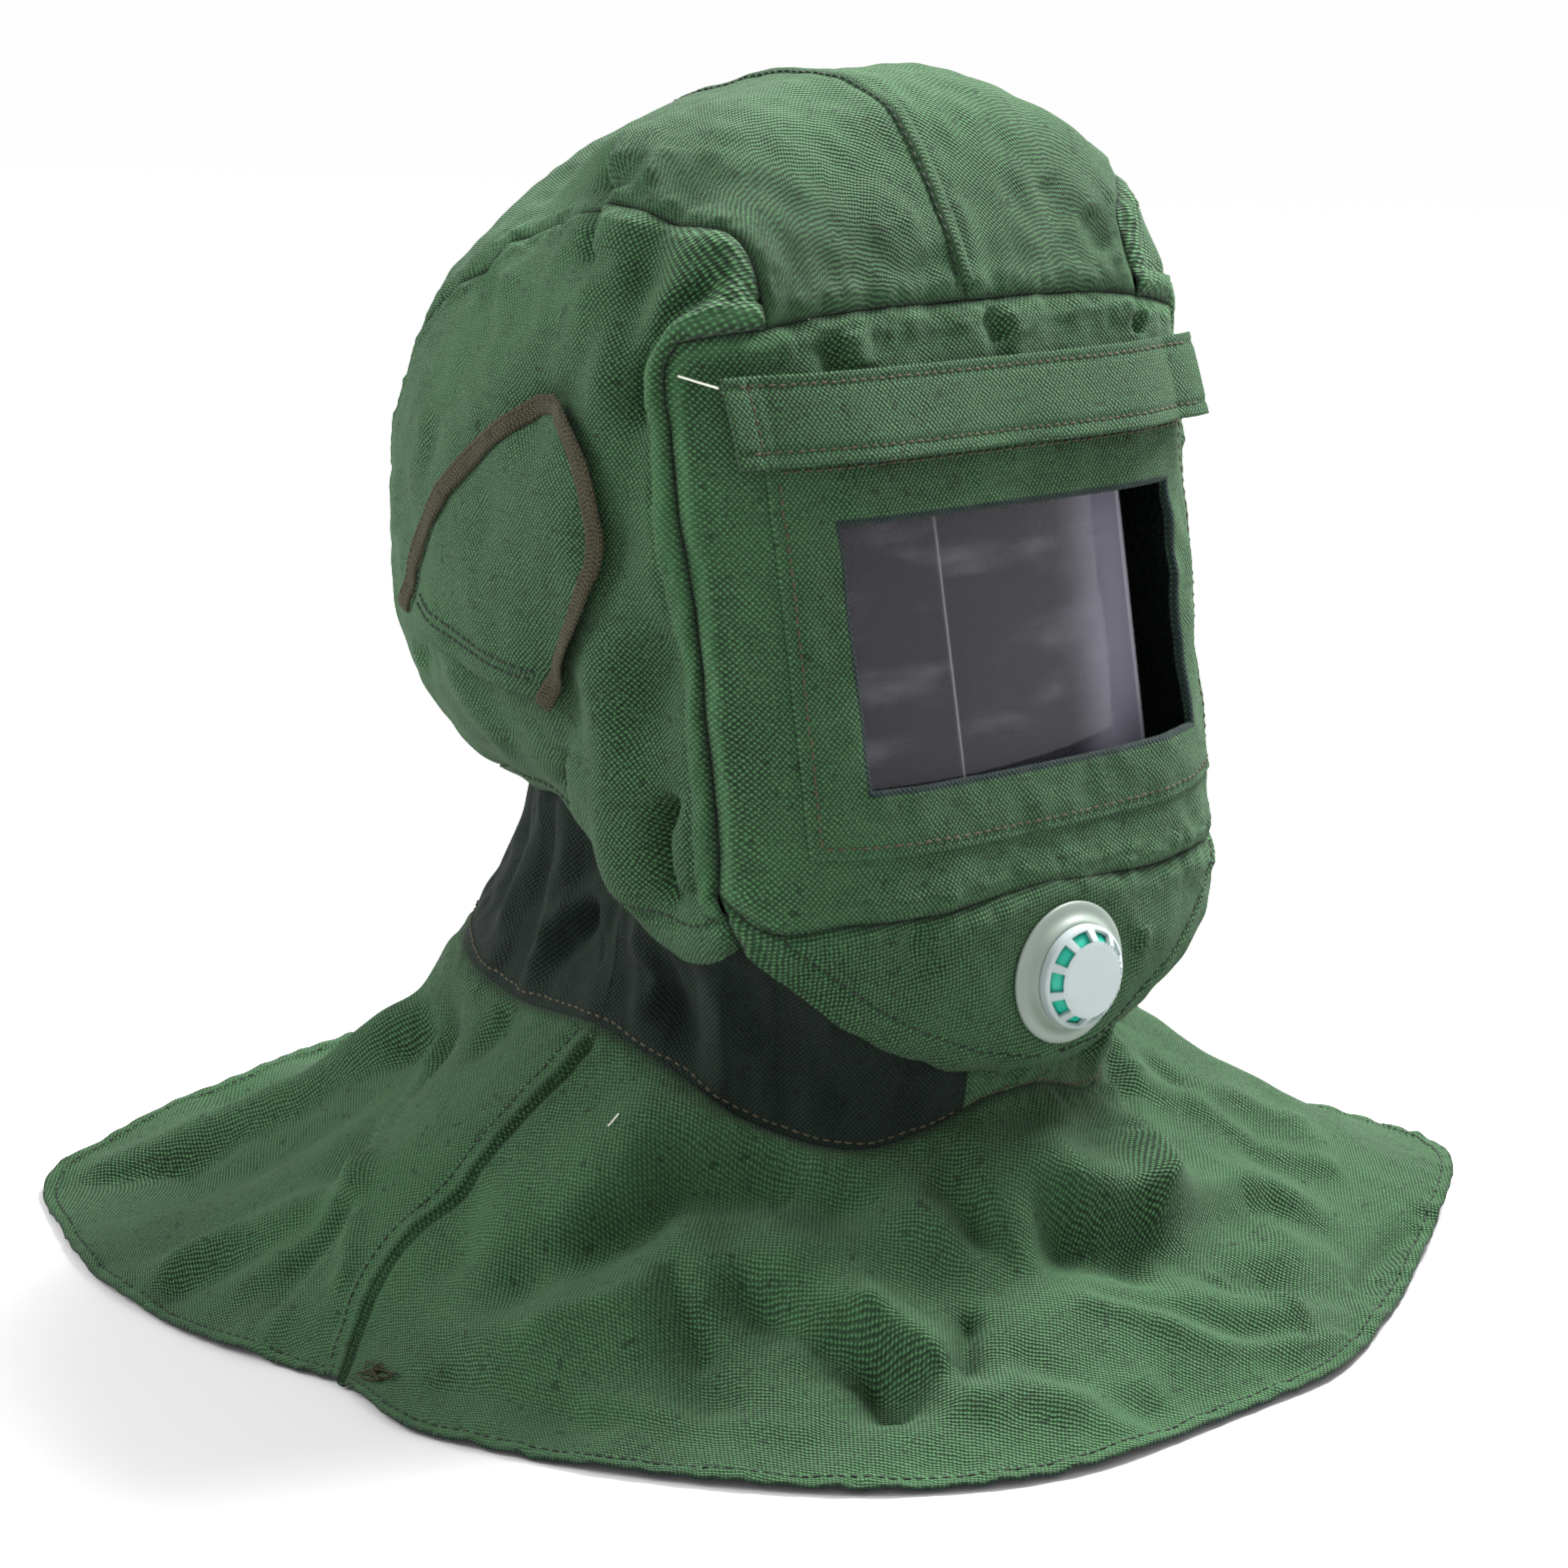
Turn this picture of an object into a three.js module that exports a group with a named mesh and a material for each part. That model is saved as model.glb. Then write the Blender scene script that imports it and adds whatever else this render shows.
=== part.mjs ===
// A canvas sandblasting hood with a shoulder cape, in millimetres.
// z is up, the window faces -y, the wearer's right side is -x.
// The hem of the cape lies at z = 0 while the pieces are made; the last lines move the
// inside of the crown, where a head carries the hood, to the origin.
import * as THREE from "three";

const vec = (x, y, z) => new THREE.Vector3(x, y, z);
const mix = (a, b, t) => a + (b - a) * t;
const clamp01 = (t) => Math.min(1, Math.max(0, t));

function smooth(from, to, x) {
  const t = clamp01((x - from) / (to - from));
  return t * t * (3 - 2 * t);
}

// Cloth, and the clear space that every piece keeps to the next one.
const CANVAS = 1.8;
const TAPE = 1.2;
const GAP = 0.3;

// The hood: half its width, its depth before and behind the ears, its height over and
// under the level of the eyes. The face leans forward as it goes down.
const HALF_WIDTH = 124;
const FACE_DEPTH = 119.5;
const BACK_DEPTH = 156;
const CROWN_RISE = 160;
const CHIN_DROP = 165;
const NAPE_DROP = 103;
const EYE_LEVEL = 250;
const FACE_LEAN = 0.2;

// How square the hood is: 2 is round, more is boxier.
const PLAN_SQUARE = { face: 4.0, back: 2.3 };
const CROWN_SQUARE = { face: 3.3, back: 2.3 };
const CHIN_SQUARE = { face: 6.0, back: 2.6 };

// The window and the frame of doubled canvas round it.
const WINDOW_SHIFT = 7;
const WINDOW_HALF_WIDTH = 75;
const WINDOW_TOP = EYE_LEVEL + 26.5;
const WINDOW_BOTTOM = EYE_LEVEL - 58;
const WINDOW_CORNER = 3;
const FRAME_BAND = 22;
const FRAME_LAYER = 1.2;

// The clear lens behind the window.
const LENS_OVERLAP = 12;
const LENS_RIGHT_INSET = 8;
const LENS_THICKNESS = 0.8;
const LENS_SETBACK = 14;

// The folded flap over the window.
const FLAP_HEIGHT = 28;
const FLAP_TOP = EYE_LEVEL + 75;
const FLAP_HALF_WIDTH = 105;
const FLAP_SHIFT = 2.5;
const FLAP_THICKNESS = 2.4;
const FLAP_STANDOFF = 3.2;

// The breathing valve on the chin.
const VALVE_X = 6;
const VALVE_Z = 122;
const VALVE_SEAT = -143.5;
const VALVE_FLANGE_RADIUS = 24.5;
const VALVE_FLANGE_HEIGHT = 1.6;
const VALVE_FOOT_RADIUS = 19.5;
const VALVE_CAP_RADIUS = 17.8;
const VALVE_BOSS_HEIGHT = 5.2;
const VALVE_DISC_RADIUS = 14.8;
const VALVE_DISC_HEIGHT = 1.2;
const VALVE_SHOULDER_RADIUS = 17;
const VALVE_FACE_RADIUS = 12.6;
const VALVE_HEIGHT = 12.5;
const VALVE_SHOULDER_HEIGHT = 8.5;
const VALVE_WALL = 1.3;
const VALVE_SLOTS = 10;
const VALVE_SLOT_SHARE = 0.66;
const VALVE_SLOT_TURN = 0.5;

// The cape: its neckline and its hem.
const NECK_HALF_WIDTH = 107;
const NECK_FRONT = 125;
const NECK_BACK = 118;
const NECK_HEIGHT = 97;
const HEM_HALF = 240;
const HEM_HEIGHT = 2.4;
const SEAM_SWAY = 25;
const SEAM_SWAY_REACH = 6;
const CAPE_BELL = { front: 1.35, back: 2.1 };

// The centre ridge over the crown and the ridge on each shoulder seam.
const RIDGE_WIDTH = 6;
const RIDGE_HEIGHT = 1.6;

// Samples along the seams.
const CROWN_ROWS = 6;
const CORNER_STEPS = 3;
const FACE_STEPS = 8;
const JAW_STEPS = 4;
const TOP_STEPS = 13;
const FRONT_STEPS = CORNER_STEPS + FACE_STEPS + JAW_STEPS;
const CHIN_STEPS = CROWN_ROWS + CORNER_STEPS;
const CAPE_FRONT_STEPS = 15;
const CAPE_BACK_STEPS = 11;
const GUSSET_STEPS = { right: 2, left: 9 };

// The hood's plain surface, before any fold: a rounded box, boxy at the face and round
// at the back. The direction is in shares of the hood's half width, depth and height.
function shareSizes(dir) {
  const flat = Math.hypot(dir.x, dir.y) || 1e-9;
  const turn = dir.y / flat;
  const back = smooth(-0.55, 0.35, turn);
  const low = smooth(-0.8, 0.1, turn);
  const plan = mix(PLAN_SQUARE.face, PLAN_SQUARE.back, back);
  const rise =
    dir.z > 0
      ? mix(CROWN_SQUARE.face, CROWN_SQUARE.back, back)
      : mix(CHIN_SQUARE.face, CHIN_SQUARE.back, low);
  const drop = mix(CHIN_DROP, NAPE_DROP, smooth(-1.0, 0.1, turn));
  return { plan, rise, drop };
}

function plainPoint(dir) {
  const { plan, rise, drop } = shareSizes(dir);
  const flat = (Math.abs(dir.x) ** plan + Math.abs(dir.y) ** plan) ** (1 / plan);
  const size = (flat ** rise + Math.abs(dir.z) ** rise) ** (-1 / rise);
  const z = EYE_LEVEL + (dir.z > 0 ? CROWN_RISE : drop) * dir.z * size;
  const depth = dir.y < 0 ? FACE_DEPTH + FACE_LEAN * (EYE_LEVEL - z) : BACK_DEPTH;
  return vec(HALF_WIDTH * dir.x * size, depth * dir.y * size, z);
}

function plainNormal(dir) {
  const side = Math.abs(dir.z) < 0.9 ? vec(0, 0, 1) : vec(0, 1, 0);
  const a = dir.clone().cross(side).normalize();
  const b = dir.clone().cross(a).normalize();
  const step = (axis, size) => plainPoint(dir.clone().addScaledVector(axis, size).normalize());
  const alongA = step(a, 0.02).sub(step(a, -0.02));
  const alongB = step(b, 0.02).sub(step(b, -0.02));
  const normal = alongA.cross(alongB).normalize();
  return normal.dot(dir) < 0 ? normal.negate() : normal;
}

// The direction of a point of the hood given in millimetres.
function dirOf(x, y, z) {
  const first = vec(x / HALF_WIDTH, y / (y < 0 ? FACE_DEPTH : BACK_DEPTH), 0);
  first.z = (z - EYE_LEVEL) / CROWN_RISE;
  const { drop } = shareSizes(first);
  const depth = y < 0 ? FACE_DEPTH + FACE_LEAN * (EYE_LEVEL - z) : BACK_DEPTH;
  const up = (z - EYE_LEVEL) / (z > EYE_LEVEL ? CROWN_RISE : drop);
  return vec(x / HALF_WIDTH, y / depth, up).normalize();
}

// The direction of the face's own surface at a place across and up.
function faceDir(x, z) {
  const up = (z - EYE_LEVEL) / (z > EYE_LEVEL ? CROWN_RISE : CHIN_DROP);
  const rise = z > EYE_LEVEL ? CROWN_SQUARE.face : CHIN_SQUARE.face;
  const flat = (1 - Math.abs(up) ** rise) ** (1 / rise);
  const across = x / HALF_WIDTH;
  const plan = PLAN_SQUARE.face;
  const along = (flat ** plan - Math.abs(across) ** plan) ** (1 / plan);
  return vec(across, -along, up).normalize();
}

// Broad swells and hollows of the hood: where, how far out, how wide.
const SWELLS = [
  { across: 0.3, along: -0.3, up: 0.95, out: 7, reach: 62 },
  { across: 0.85, along: -0.45, up: 0.6, out: 8, reach: 45 },
  { across: -0.55, along: 0.2, up: 0.86, out: -11, reach: 55 },
  { across: -0.3, along: 0.7, up: 0.65, out: -7, reach: 60 },
  { across: 0.95, along: -0.7, up: -0.2, out: -3, reach: 70 },
  { across: 0.04, along: -0.9, up: -0.9, out: 10, reach: 50 },
].map((s) => ({ ...s, centre: plainPoint(vec(s.across, s.along, s.up).normalize()) }));

// Folds of the hood: each runs through its places, out is its height, width its half width.
const FOLDS = [
  {
    out: -7,
    width: 13,
    path: [
      [-0.62, 0.0, 0.86],
      [-0.81, -0.343, 0.797],
      [-0.86, -0.36, 0.7],
      [-0.925, -0.427, 0.6],
      [-0.967, -0.314, 0.458],
      [-0.99, -0.2, 0.36],
    ],
  },
  {
    out: 7,
    width: 14,
    path: [
      [-0.5, 0.16, 0.9],
      [-0.56, -0.02, 0.9],
      [-0.63, -0.2, 0.9],
    ],
  },
  {
    out: 4,
    width: 10,
    path: [
      [-0.85, -0.46, 0.74],
      [-0.93, -0.53, 0.6],
      [-0.95, -0.5, 0.45],
    ],
  },
  {
    out: -5,
    width: 11,
    path: [
      [-0.8, -0.6, 0.76],
      [-0.9, -0.6, 0.66],
      [-0.94, -0.6, 0.5],
      [-0.95, -0.62, 0.3],
    ],
  },
  {
    out: 5,
    width: 14,
    path: [
      [-0.72, -0.78, 0.68],
      [-0.84, -0.76, 0.58],
    ],
  },
  {
    out: -6,
    width: 16,
    path: [
      [-0.97, -0.6, 0.1],
      [-0.97, -0.6, -0.2],
      [-0.95, -0.62, -0.45],
      [-0.92, -0.56, -0.66],
    ],
  },
  {
    out: -6,
    width: 15,
    path: [
      [-0.99, -0.3, -0.3],
      [-0.95, -0.2, -0.5],
      [-0.88, -0.16, -0.72],
    ],
  },
  {
    out: 4,
    width: 12,
    path: [
      [-0.98, -0.44, -0.25],
      [-0.95, -0.42, -0.5],
      [-0.9, -0.4, -0.68],
    ],
  },
  {
    out: -4,
    width: 14,
    path: [
      [-0.63, -0.33, 0.92],
      [-0.7, -0.6, 0.82],
    ],
  },
].map((fold) => ({ ...fold, path: fold.path.map((p) => plainPoint(vec(...p).normalize())) }));

// How far a point is from a line through places.
function distanceTo(path, point) {
  let nearest = Infinity;
  for (let i = 0; i + 1 < path.length; i += 1) {
    const span = path[i + 1].clone().sub(path[i]);
    const rest = point.clone().sub(path[i]);
    const t = clamp01(rest.dot(span) / span.lengthSq());
    nearest = Math.min(nearest, rest.addScaledVector(span, -t).length());
  }
  return nearest;
}

function hoodRelief(plain) {
  let out = 0;
  for (const s of SWELLS) out += s.out * Math.exp(-((plain.distanceTo(s.centre) / s.reach) ** 2));
  for (const f of FOLDS) out += f.out * Math.exp(-((distanceTo(f.path, plain) / f.width) ** 2));
  return out;
}

// The canvas lies flat under the valve.
function seatValve(point) {
  if (point.y > -80) return point;
  const away = Math.hypot(point.x - VALVE_X, point.z - VALVE_Z);
  const flat = 1 - smooth(VALVE_FLANGE_RADIUS, VALVE_FLANGE_RADIUS * 1.7, away);
  point.y = mix(point.y, VALVE_SEAT, flat);
  return point;
}

// A point of the hood's outside, with the normal of its plain surface.
function hoodAt(dir) {
  const plain = plainPoint(dir);
  const normal = plainNormal(dir);
  const point = seatValve(plain.clone().addScaledVector(normal, hoodRelief(plain)));
  return { point, normal };
}

// A smooth line through places, closed or open.
function lineThrough(points, loop = false) {
  return new THREE.CatmullRomCurve3(points, loop, "centripetal");
}

// Equal steps along a line of directions, measured on the hood.
function seam(rows, steps) {
  const line = lineThrough(rows.map((row) => vec(...row).normalize()));
  const dense = [];
  for (let i = 0; i <= 400; i += 1) dense.push(line.getPoint(i / 400).normalize());
  const reached = [0];
  for (let i = 1; i <= 400; i += 1) {
    const step = plainPoint(dense[i]).distanceTo(plainPoint(dense[i - 1]));
    reached.push(reached[i - 1] + step);
  }
  const out = [];
  for (let k = 0, i = 0; k <= steps; k += 1) {
    const want = (reached[400] * k) / steps;
    while (i < 399 && reached[i + 1] < want) i += 1;
    const t = clamp01((want - reached[i]) / (reached[i + 1] - reached[i]));
    out.push(dense[i].clone().lerp(dense[i + 1], t).normalize());
  }
  return out;
}

const mirrored = (dirs) => dirs.map((d) => vec(-d.x, d.y, d.z));

// Places where seams meet, in shares across, along and up.
const CORNER = {
  faceTop: [-0.851, -0.766, 0.52],
  crownFront: [-0.652, -0.898, 0.553],
  centreFront: [0, -0.95, 0.582],
  faceBottom: [-0.9, -0.75, -0.6],
  jaw: [-0.86, -0.78, -0.7],
  chinRim: [0, -0.84, -0.97],
  nape: [0, 0.6, -0.88],
  napeSide: [-0.42, 0.5, -0.9],
};

// The seams of the wearer's right half.
const SEAMS = {
  crownSide: seam(
    [
      CORNER.crownFront,
      [-0.647, -0.859, 0.646],
      [-0.667, -0.809, 0.715],
      [-0.727, -0.727, 0.752],
      [-0.788, -0.562, 0.79],
      [-0.806, -0.343, 0.8],
      [-0.775, -0.02, 0.775],
      [-0.77, 0.15, 0.742],
      [-0.785, 0.3, 0.67],
      [-0.74, 0.62, 0.4],
      [-0.66, 0.78, 0.1],
      [-0.6, 0.8, -0.3],
      CORNER.napeSide,
    ],
    TOP_STEPS + FRONT_STEPS,
  ),
  crownCentre: seam(
    [
      CORNER.centreFront,
      [0, -0.86, 0.75],
      [0, -0.5, 0.93],
      [0, 0, 1],
      [0, 0.5, 0.87],
      [0, 0.87, 0.5],
      [0, 1, 0],
      [0, 0.88, -0.5],
      CORNER.nape,
    ],
    TOP_STEPS + FRONT_STEPS,
  ),
  faceCorner: seam([CORNER.crownFront, [-0.77, -0.84, 0.54], CORNER.faceTop], CORNER_STEPS),
  faceTop: seam([CORNER.crownFront, [-0.39, -0.945, 0.58], CORNER.centreFront], CROWN_ROWS),
  faceSide: seam(
    [
      CORNER.faceTop,
      [-0.88, -0.738, 0.476],
      [-0.898, -0.74, 0.378],
      [-0.906, -0.747, 0.26],
      [-0.899, -0.768, 0.02],
      [-0.898, -0.767, -0.262],
      [-0.892, -0.763, -0.462],
      CORNER.faceBottom,
    ],
    FACE_STEPS,
  ),
  jaw: seam([CORNER.faceBottom, CORNER.jaw], JAW_STEPS),
  chinTop: seam(
    [
      CORNER.faceBottom,
      [-0.82, -0.83, -0.645],
      [-0.648, -0.94, -0.618],
      [-0.368, -0.986, -0.606],
      [0, -0.993, -0.58],
    ],
    CHIN_STEPS,
  ),
  chinRim: seam(
    [CORNER.jaw, [-0.72, -0.87, -0.8], [-0.53, -0.88, -0.88], [-0.24, -0.85, -0.95], CORNER.chinRim],
    CHIN_STEPS,
  ),
  sideRim: seam(
    [
      CORNER.jaw,
      [-0.85, -0.62, -0.76],
      [-0.84, -0.38, -0.82],
      [-0.82, -0.1, -0.84],
      [-0.75, 0.2, -0.84],
      [-0.6, 0.4, -0.88],
      CORNER.napeSide,
    ],
    TOP_STEPS,
  ),
  backRim: seam([CORNER.napeSide, [-0.2, 0.58, -0.9], CORNER.nape], CROWN_ROWS),
};

// Directions between four seams; opposite seams have as many samples.
function between(near, far, left, right) {
  const across = near.length - 1;
  const up = left.length - 1;
  const rows = [];
  for (let j = 0; j <= up; j += 1) {
    const v = j / up;
    const row = [];
    for (let i = 0; i <= across; i += 1) {
      const u = i / across;
      const d = near[i].clone().multiplyScalar(1 - v).addScaledVector(far[i], v);
      d.addScaledVector(left[j], 1 - u).addScaledVector(right[j], u);
      d.addScaledVector(near[0], -(1 - u) * (1 - v)).addScaledVector(near[across], -u * (1 - v));
      d.addScaledVector(far[0], -(1 - u) * v).addScaledVector(far[across], -u * v);
      row.push(d.normalize());
    }
    rows.push(row);
  }
  return rows;
}

// Two triangles for each cell of a grid; wrap joins the last column to the first.
function gridFaces(rows, cols, wrap = false) {
  const faces = [];
  for (let j = 0; j + 1 < rows; j += 1) {
    for (let i = 0; i < (wrap ? cols : cols - 1); i += 1) {
      const k = (i + 1) % cols;
      const a = j * cols + i;
      const b = j * cols + k;
      const c = (j + 1) * cols + k;
      const d = (j + 1) * cols + i;
      if ((i + j) % 2) faces.push([a, b, c], [a, c, d]);
      else faces.push([a, b, d], [b, c, d]);
    }
  }
  return faces;
}

// Edges that only one triangle has, in that triangle's order.
function openEdges(faces) {
  const seen = new Map();
  for (const [a, b, c] of faces) {
    for (const [p, q] of [[a, b], [b, c], [c, a]]) {
      if (seen.has(`${q},${p}`)) seen.delete(`${q},${p}`);
      else seen.set(`${p},${q}`, [p, q]);
    }
  }
  return [...seen.values()];
}

const root = new THREE.Group();

function addMesh(name, points, faces, material) {
  const geometry = new THREE.BufferGeometry();
  geometry.setAttribute(
    "position",
    new THREE.Float32BufferAttribute(points.flatMap((p) => [p.x, p.y, p.z]), 3),
  );
  geometry.setIndex(faces.flat());
  geometry.computeVertexNormals();
  const mesh = new THREE.Mesh(geometry, material);
  mesh.name = name;
  root.add(mesh);
  return mesh;
}

// A sheet as a closed body: its outside, its inside set back by the wall, and its edges.
// Each open edge stands back by half the gap, so that two sheets that share a seam clear it.
function addSheet(name, samples, faces, wall, material, lift = 0) {
  let tris = faces;
  const normalOf = ([a, b, c]) => {
    const ab = samples[b].point.clone().sub(samples[a].point);
    return ab.cross(samples[c].point.clone().sub(samples[a].point));
  };
  const facing = faces.reduce((sum, f) => sum + normalOf(f).dot(samples[f[0]].normal), 0);
  if (facing < 0) tris = faces.map(([a, b, c]) => [a, c, b]);
  const edges = openEdges(tris);
  const inward = samples.map(() => []);
  for (const [a, b] of edges) {
    const run = samples[b].point.clone().sub(samples[a].point).normalize();
    for (const k of [a, b]) inward[k].push(samples[k].normal.clone().cross(run).normalize());
  }
  const outside = samples.map(({ point, normal }, k) => {
    const p = point.clone().addScaledVector(normal, lift + wall);
    const [u, v] = inward[k];
    if (u) p.addScaledVector(u.clone().add(v), GAP / 2 / Math.max(0.35, 1 + u.dot(v)));
    return p;
  });
  const inside = samples.map(({ normal }, k) => outside[k].clone().addScaledVector(normal, -wall));
  const n = samples.length;
  const all = [...tris, ...tris.map(([a, b, c]) => [a + n, c + n, b + n])];
  for (const [a, b] of edges) all.push([b, a, a + n], [b, a + n, b + n]);
  return addMesh(name, [...outside, ...inside], all, material);
}

const greenCanvas = new THREE.MeshStandardMaterial({ color: 0x3f6b45, roughness: 0.95 });
const darkCloth = new THREE.MeshStandardMaterial({ color: 0x234a40, roughness: 0.95 });
const brownTape = new THREE.MeshStandardMaterial({ color: 0x4b4a30, roughness: 0.9 });
const clearSheet = new THREE.MeshStandardMaterial({ color: 0xd8dde0, roughness: 0.1 });
const whitePlastic = new THREE.MeshStandardMaterial({ color: 0xd9dedd, roughness: 0.4 });
const tealRubber = new THREE.MeshStandardMaterial({ color: 0x12a08c, roughness: 0.5 });

// The hood's panels are drawn on its outside; their walls go inwards.
function addPanel(name, rows, wrap = false, wall = CANVAS, lift = -CANVAS) {
  const samples = rows.flat().map(hoodAt);
  const faces = gridFaces(rows.length, rows[0].length, wrap);
  return addSheet(name, samples, faces, wall, greenCanvas, lift);
}

const backHalf = (list) => list.slice(TOP_STEPS);
const topHalf = (list) => list.slice(0, TOP_STEPS + 1);
const frontEdge = [...SEAMS.faceCorner, ...SEAMS.faceSide.slice(1), ...SEAMS.jaw.slice(1)];

const crownRows = between(SEAMS.crownSide, SEAMS.crownCentre, SEAMS.faceTop, SEAMS.backRim.slice());
addPanel("crown_right", crownRows);
addPanel("crown_left", crownRows.map(mirrored));

const sideRows = between(topHalf(SEAMS.crownSide), SEAMS.sideRim, frontEdge, backHalf(SEAMS.crownSide));
addPanel("side_right", sideRows);
addPanel("side_left", sideRows.map(mirrored));

// The face: rings from the window out to the seams round it.
const faceTopEdge = [...SEAMS.faceCorner.slice().reverse(), ...SEAMS.faceTop.slice(1)];
const wholeTop = [...faceTopEdge, ...mirrored(faceTopEdge).reverse().slice(1)];
const wholeBottom = [...SEAMS.chinTop, ...mirrored(SEAMS.chinTop).reverse().slice(1)];
const faceLoop = [
  ...wholeTop.slice(0, -1),
  ...mirrored(SEAMS.faceSide).slice(0, -1),
  ...wholeBottom.slice().reverse().slice(0, -1),
  ...SEAMS.faceSide.slice().reverse().slice(0, -1),
];

function windowLoop(grow) {
  const left = WINDOW_SHIFT - WINDOW_HALF_WIDTH - grow;
  const right = WINDOW_SHIFT + WINDOW_HALF_WIDTH + grow;
  const top = WINDOW_TOP + grow;
  const bottom = WINDOW_BOTTOM - grow;
  const wide = wholeTop.length - 1;
  const side = (x0, z0, x1, z1, steps) =>
    Array.from({ length: steps }, (_, k) => {
      const turn = k === 0 ? WINDOW_CORNER * 0.3 : 0;
      const x = mix(x0, x1, k / steps);
      const z = mix(z0, z1, k / steps);
      const middle = vec(mix(left, right, 0.5), 0, mix(top, bottom, 0.5));
      return faceDir(x + Math.sign(middle.x - x) * turn, z + Math.sign(middle.z - z) * turn);
    });
  return [
    ...side(left, top, right, top, wide),
    ...side(right, top, right, bottom, FACE_STEPS),
    ...side(right, bottom, left, bottom, wide),
    ...side(left, bottom, left, top, FACE_STEPS),
  ];
}

const meanDirs = (a, b, t) => a.map((d, k) => d.clone().lerp(b[k], t).normalize());
const windowEdge = windowLoop(0);
const frameEdge = windowLoop(FRAME_BAND);
const frameRows = [windowEdge, frameEdge];
const faceRows = [...frameRows, meanDirs(frameEdge, faceLoop, 0.5), faceLoop];
addPanel("face_panel", faceRows, true);
addPanel("window_frame", frameRows, true, FRAME_LAYER, GAP);

// The chin panel, between the face and the rim.
const wholeRim = [...SEAMS.chinRim, ...mirrored(SEAMS.chinRim).reverse().slice(1)];
const chinRows = between(wholeBottom, wholeRim, SEAMS.jaw, mirrored(SEAMS.jaw));
addPanel("chin_panel", chinRows);

// A point given in millimetres, carried onto the hood.
function onHood(x, y, z) {
  return hoodAt(dirOf(x, y, z));
}

// The ridge on the crown's centre seam, on both crown halves.
const ridgeRows = [-1, 0, 1].map((side) =>
  SEAMS.crownCentre.map((d, k) => {
    const here = hoodAt(d);
    if (side === 0) return here;
    const beside = crownRows[CROWN_ROWS - 1][k];
    const next = hoodAt(vec(-Math.sign(side) * beside.x, beside.y, beside.z));
    const run = next.point.sub(here.point);
    run.setLength(RIDGE_WIDTH / 2);
    return { point: here.point.clone().add(run), normal: here.normal };
  }),
);
addSheet(
  "crown_ridge",
  ridgeRows.map((row) => row.slice(0, -1)).flat(),
  gridFaces(3, SEAMS.crownCentre.length - 1),
  RIDGE_HEIGHT,
  greenCanvas,
  GAP * 1.5,
);

// The lens, bent away from the window on the wearer's left.
const LENS_LEFT_EDGE = WINDOW_SHIFT - WINDOW_HALF_WIDTH - LENS_OVERLAP;
const LENS_RIGHT_EDGE = WINDOW_SHIFT + WINDOW_HALF_WIDTH - LENS_RIGHT_INSET;
const lensSamples = [];
const LENS_COLS = 13;
for (const z of [WINDOW_BOTTOM - LENS_OVERLAP, mix(WINDOW_BOTTOM, WINDOW_TOP, 0.5), WINDOW_TOP + LENS_OVERLAP]) {
  for (let i = 0; i < LENS_COLS; i += 1) {
    const x = mix(LENS_LEFT_EDGE, LENS_RIGHT_EDGE, i / (LENS_COLS - 1));
    const dir = faceDir(x, z);
    const point = plainPoint(dir);
    point.y += CANVAS + 2.2 + LENS_SETBACK * smooth(-30, LENS_RIGHT_EDGE, x);
    lensSamples.push({ point, normal: vec(0, -1, 0) });
  }
}
addSheet("visor_lens", lensSamples, gridFaces(3, LENS_COLS), LENS_THICKNESS, clearSheet);

// The flap over the window: its top edge is sewn down, its lower edge stands off.
const FLAP_COLS = 17;
const flapSamples = [];
for (let j = 0; j < 3; j += 1) {
  for (let i = 0; i < FLAP_COLS; i += 1) {
    const u = i / (FLAP_COLS - 1);
    const x = FLAP_SHIFT + mix(-1, 1, u) * FLAP_HALF_WIDTH;
    const z = FLAP_TOP - (FLAP_HEIGHT * j) / 2;
    const inner = Math.min(Math.abs(x), HALF_WIDTH * 0.72) * Math.sign(x);
    const flat = plainPoint(faceDir(inner, z));
    const drop = Math.max(0, Math.abs(x) - Math.abs(inner));
    flat.x = x;
    flat.y += 0.012 * drop * drop - 1.6 - (FLAP_STANDOFF * j) / 2;
    flapSamples.push({ point: flat, normal: vec(0, -1, 0) });
  }
}
addSheet("brow_flap", flapSamples, gridFaces(3, FLAP_COLS), FLAP_THICKNESS, greenCanvas);

// The ear covers: leaf-shaped, bound on two edges, open at the bottom hem.
const EAR_BACK = [[60, 230], [47, 250], [26, 274], [-4, 298], [-22, 310]];
const EAR_FRONT = [[-25, 212], [-42, 236], [-54, 264], [-53, 287], [-40, 306], [-30, 311]];
const EAR_ROWS = 8;
const EAR_COLS = 7;
const EAR_LIFT = { right: 1.9, left: 0.45 };
const EAR_BULGE = 3;
const TAPE_WIDTH = 7;
const BINDING_OVERHANG = 1.5;

const earLine = (rows) => lineThrough(rows.map(([y, z]) => vec(-HALF_WIDTH, y, z)));
const earBackLine = earLine(EAR_BACK);
const earFrontLine = earLine(EAR_FRONT);

function earSample(side, y, z, lift) {
  const { point, normal } = hoodAt(dirOf(side * HALF_WIDTH, y, z));
  return { point: point.addScaledVector(normal, lift), normal };
}

// The binding follows the back edge up, turns at the top and comes down the front edge.
const BINDING_STEPS = 11;
const bindingPath = [];
for (let k = 0; k <= BINDING_STEPS; k += 1) {
  bindingPath.push(earBackLine.getPointAt(k / BINDING_STEPS));
}
for (let k = 0; k <= BINDING_STEPS; k += 1) {
  bindingPath.push(earFrontLine.getPointAt(1 - k / BINDING_STEPS));
}

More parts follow.
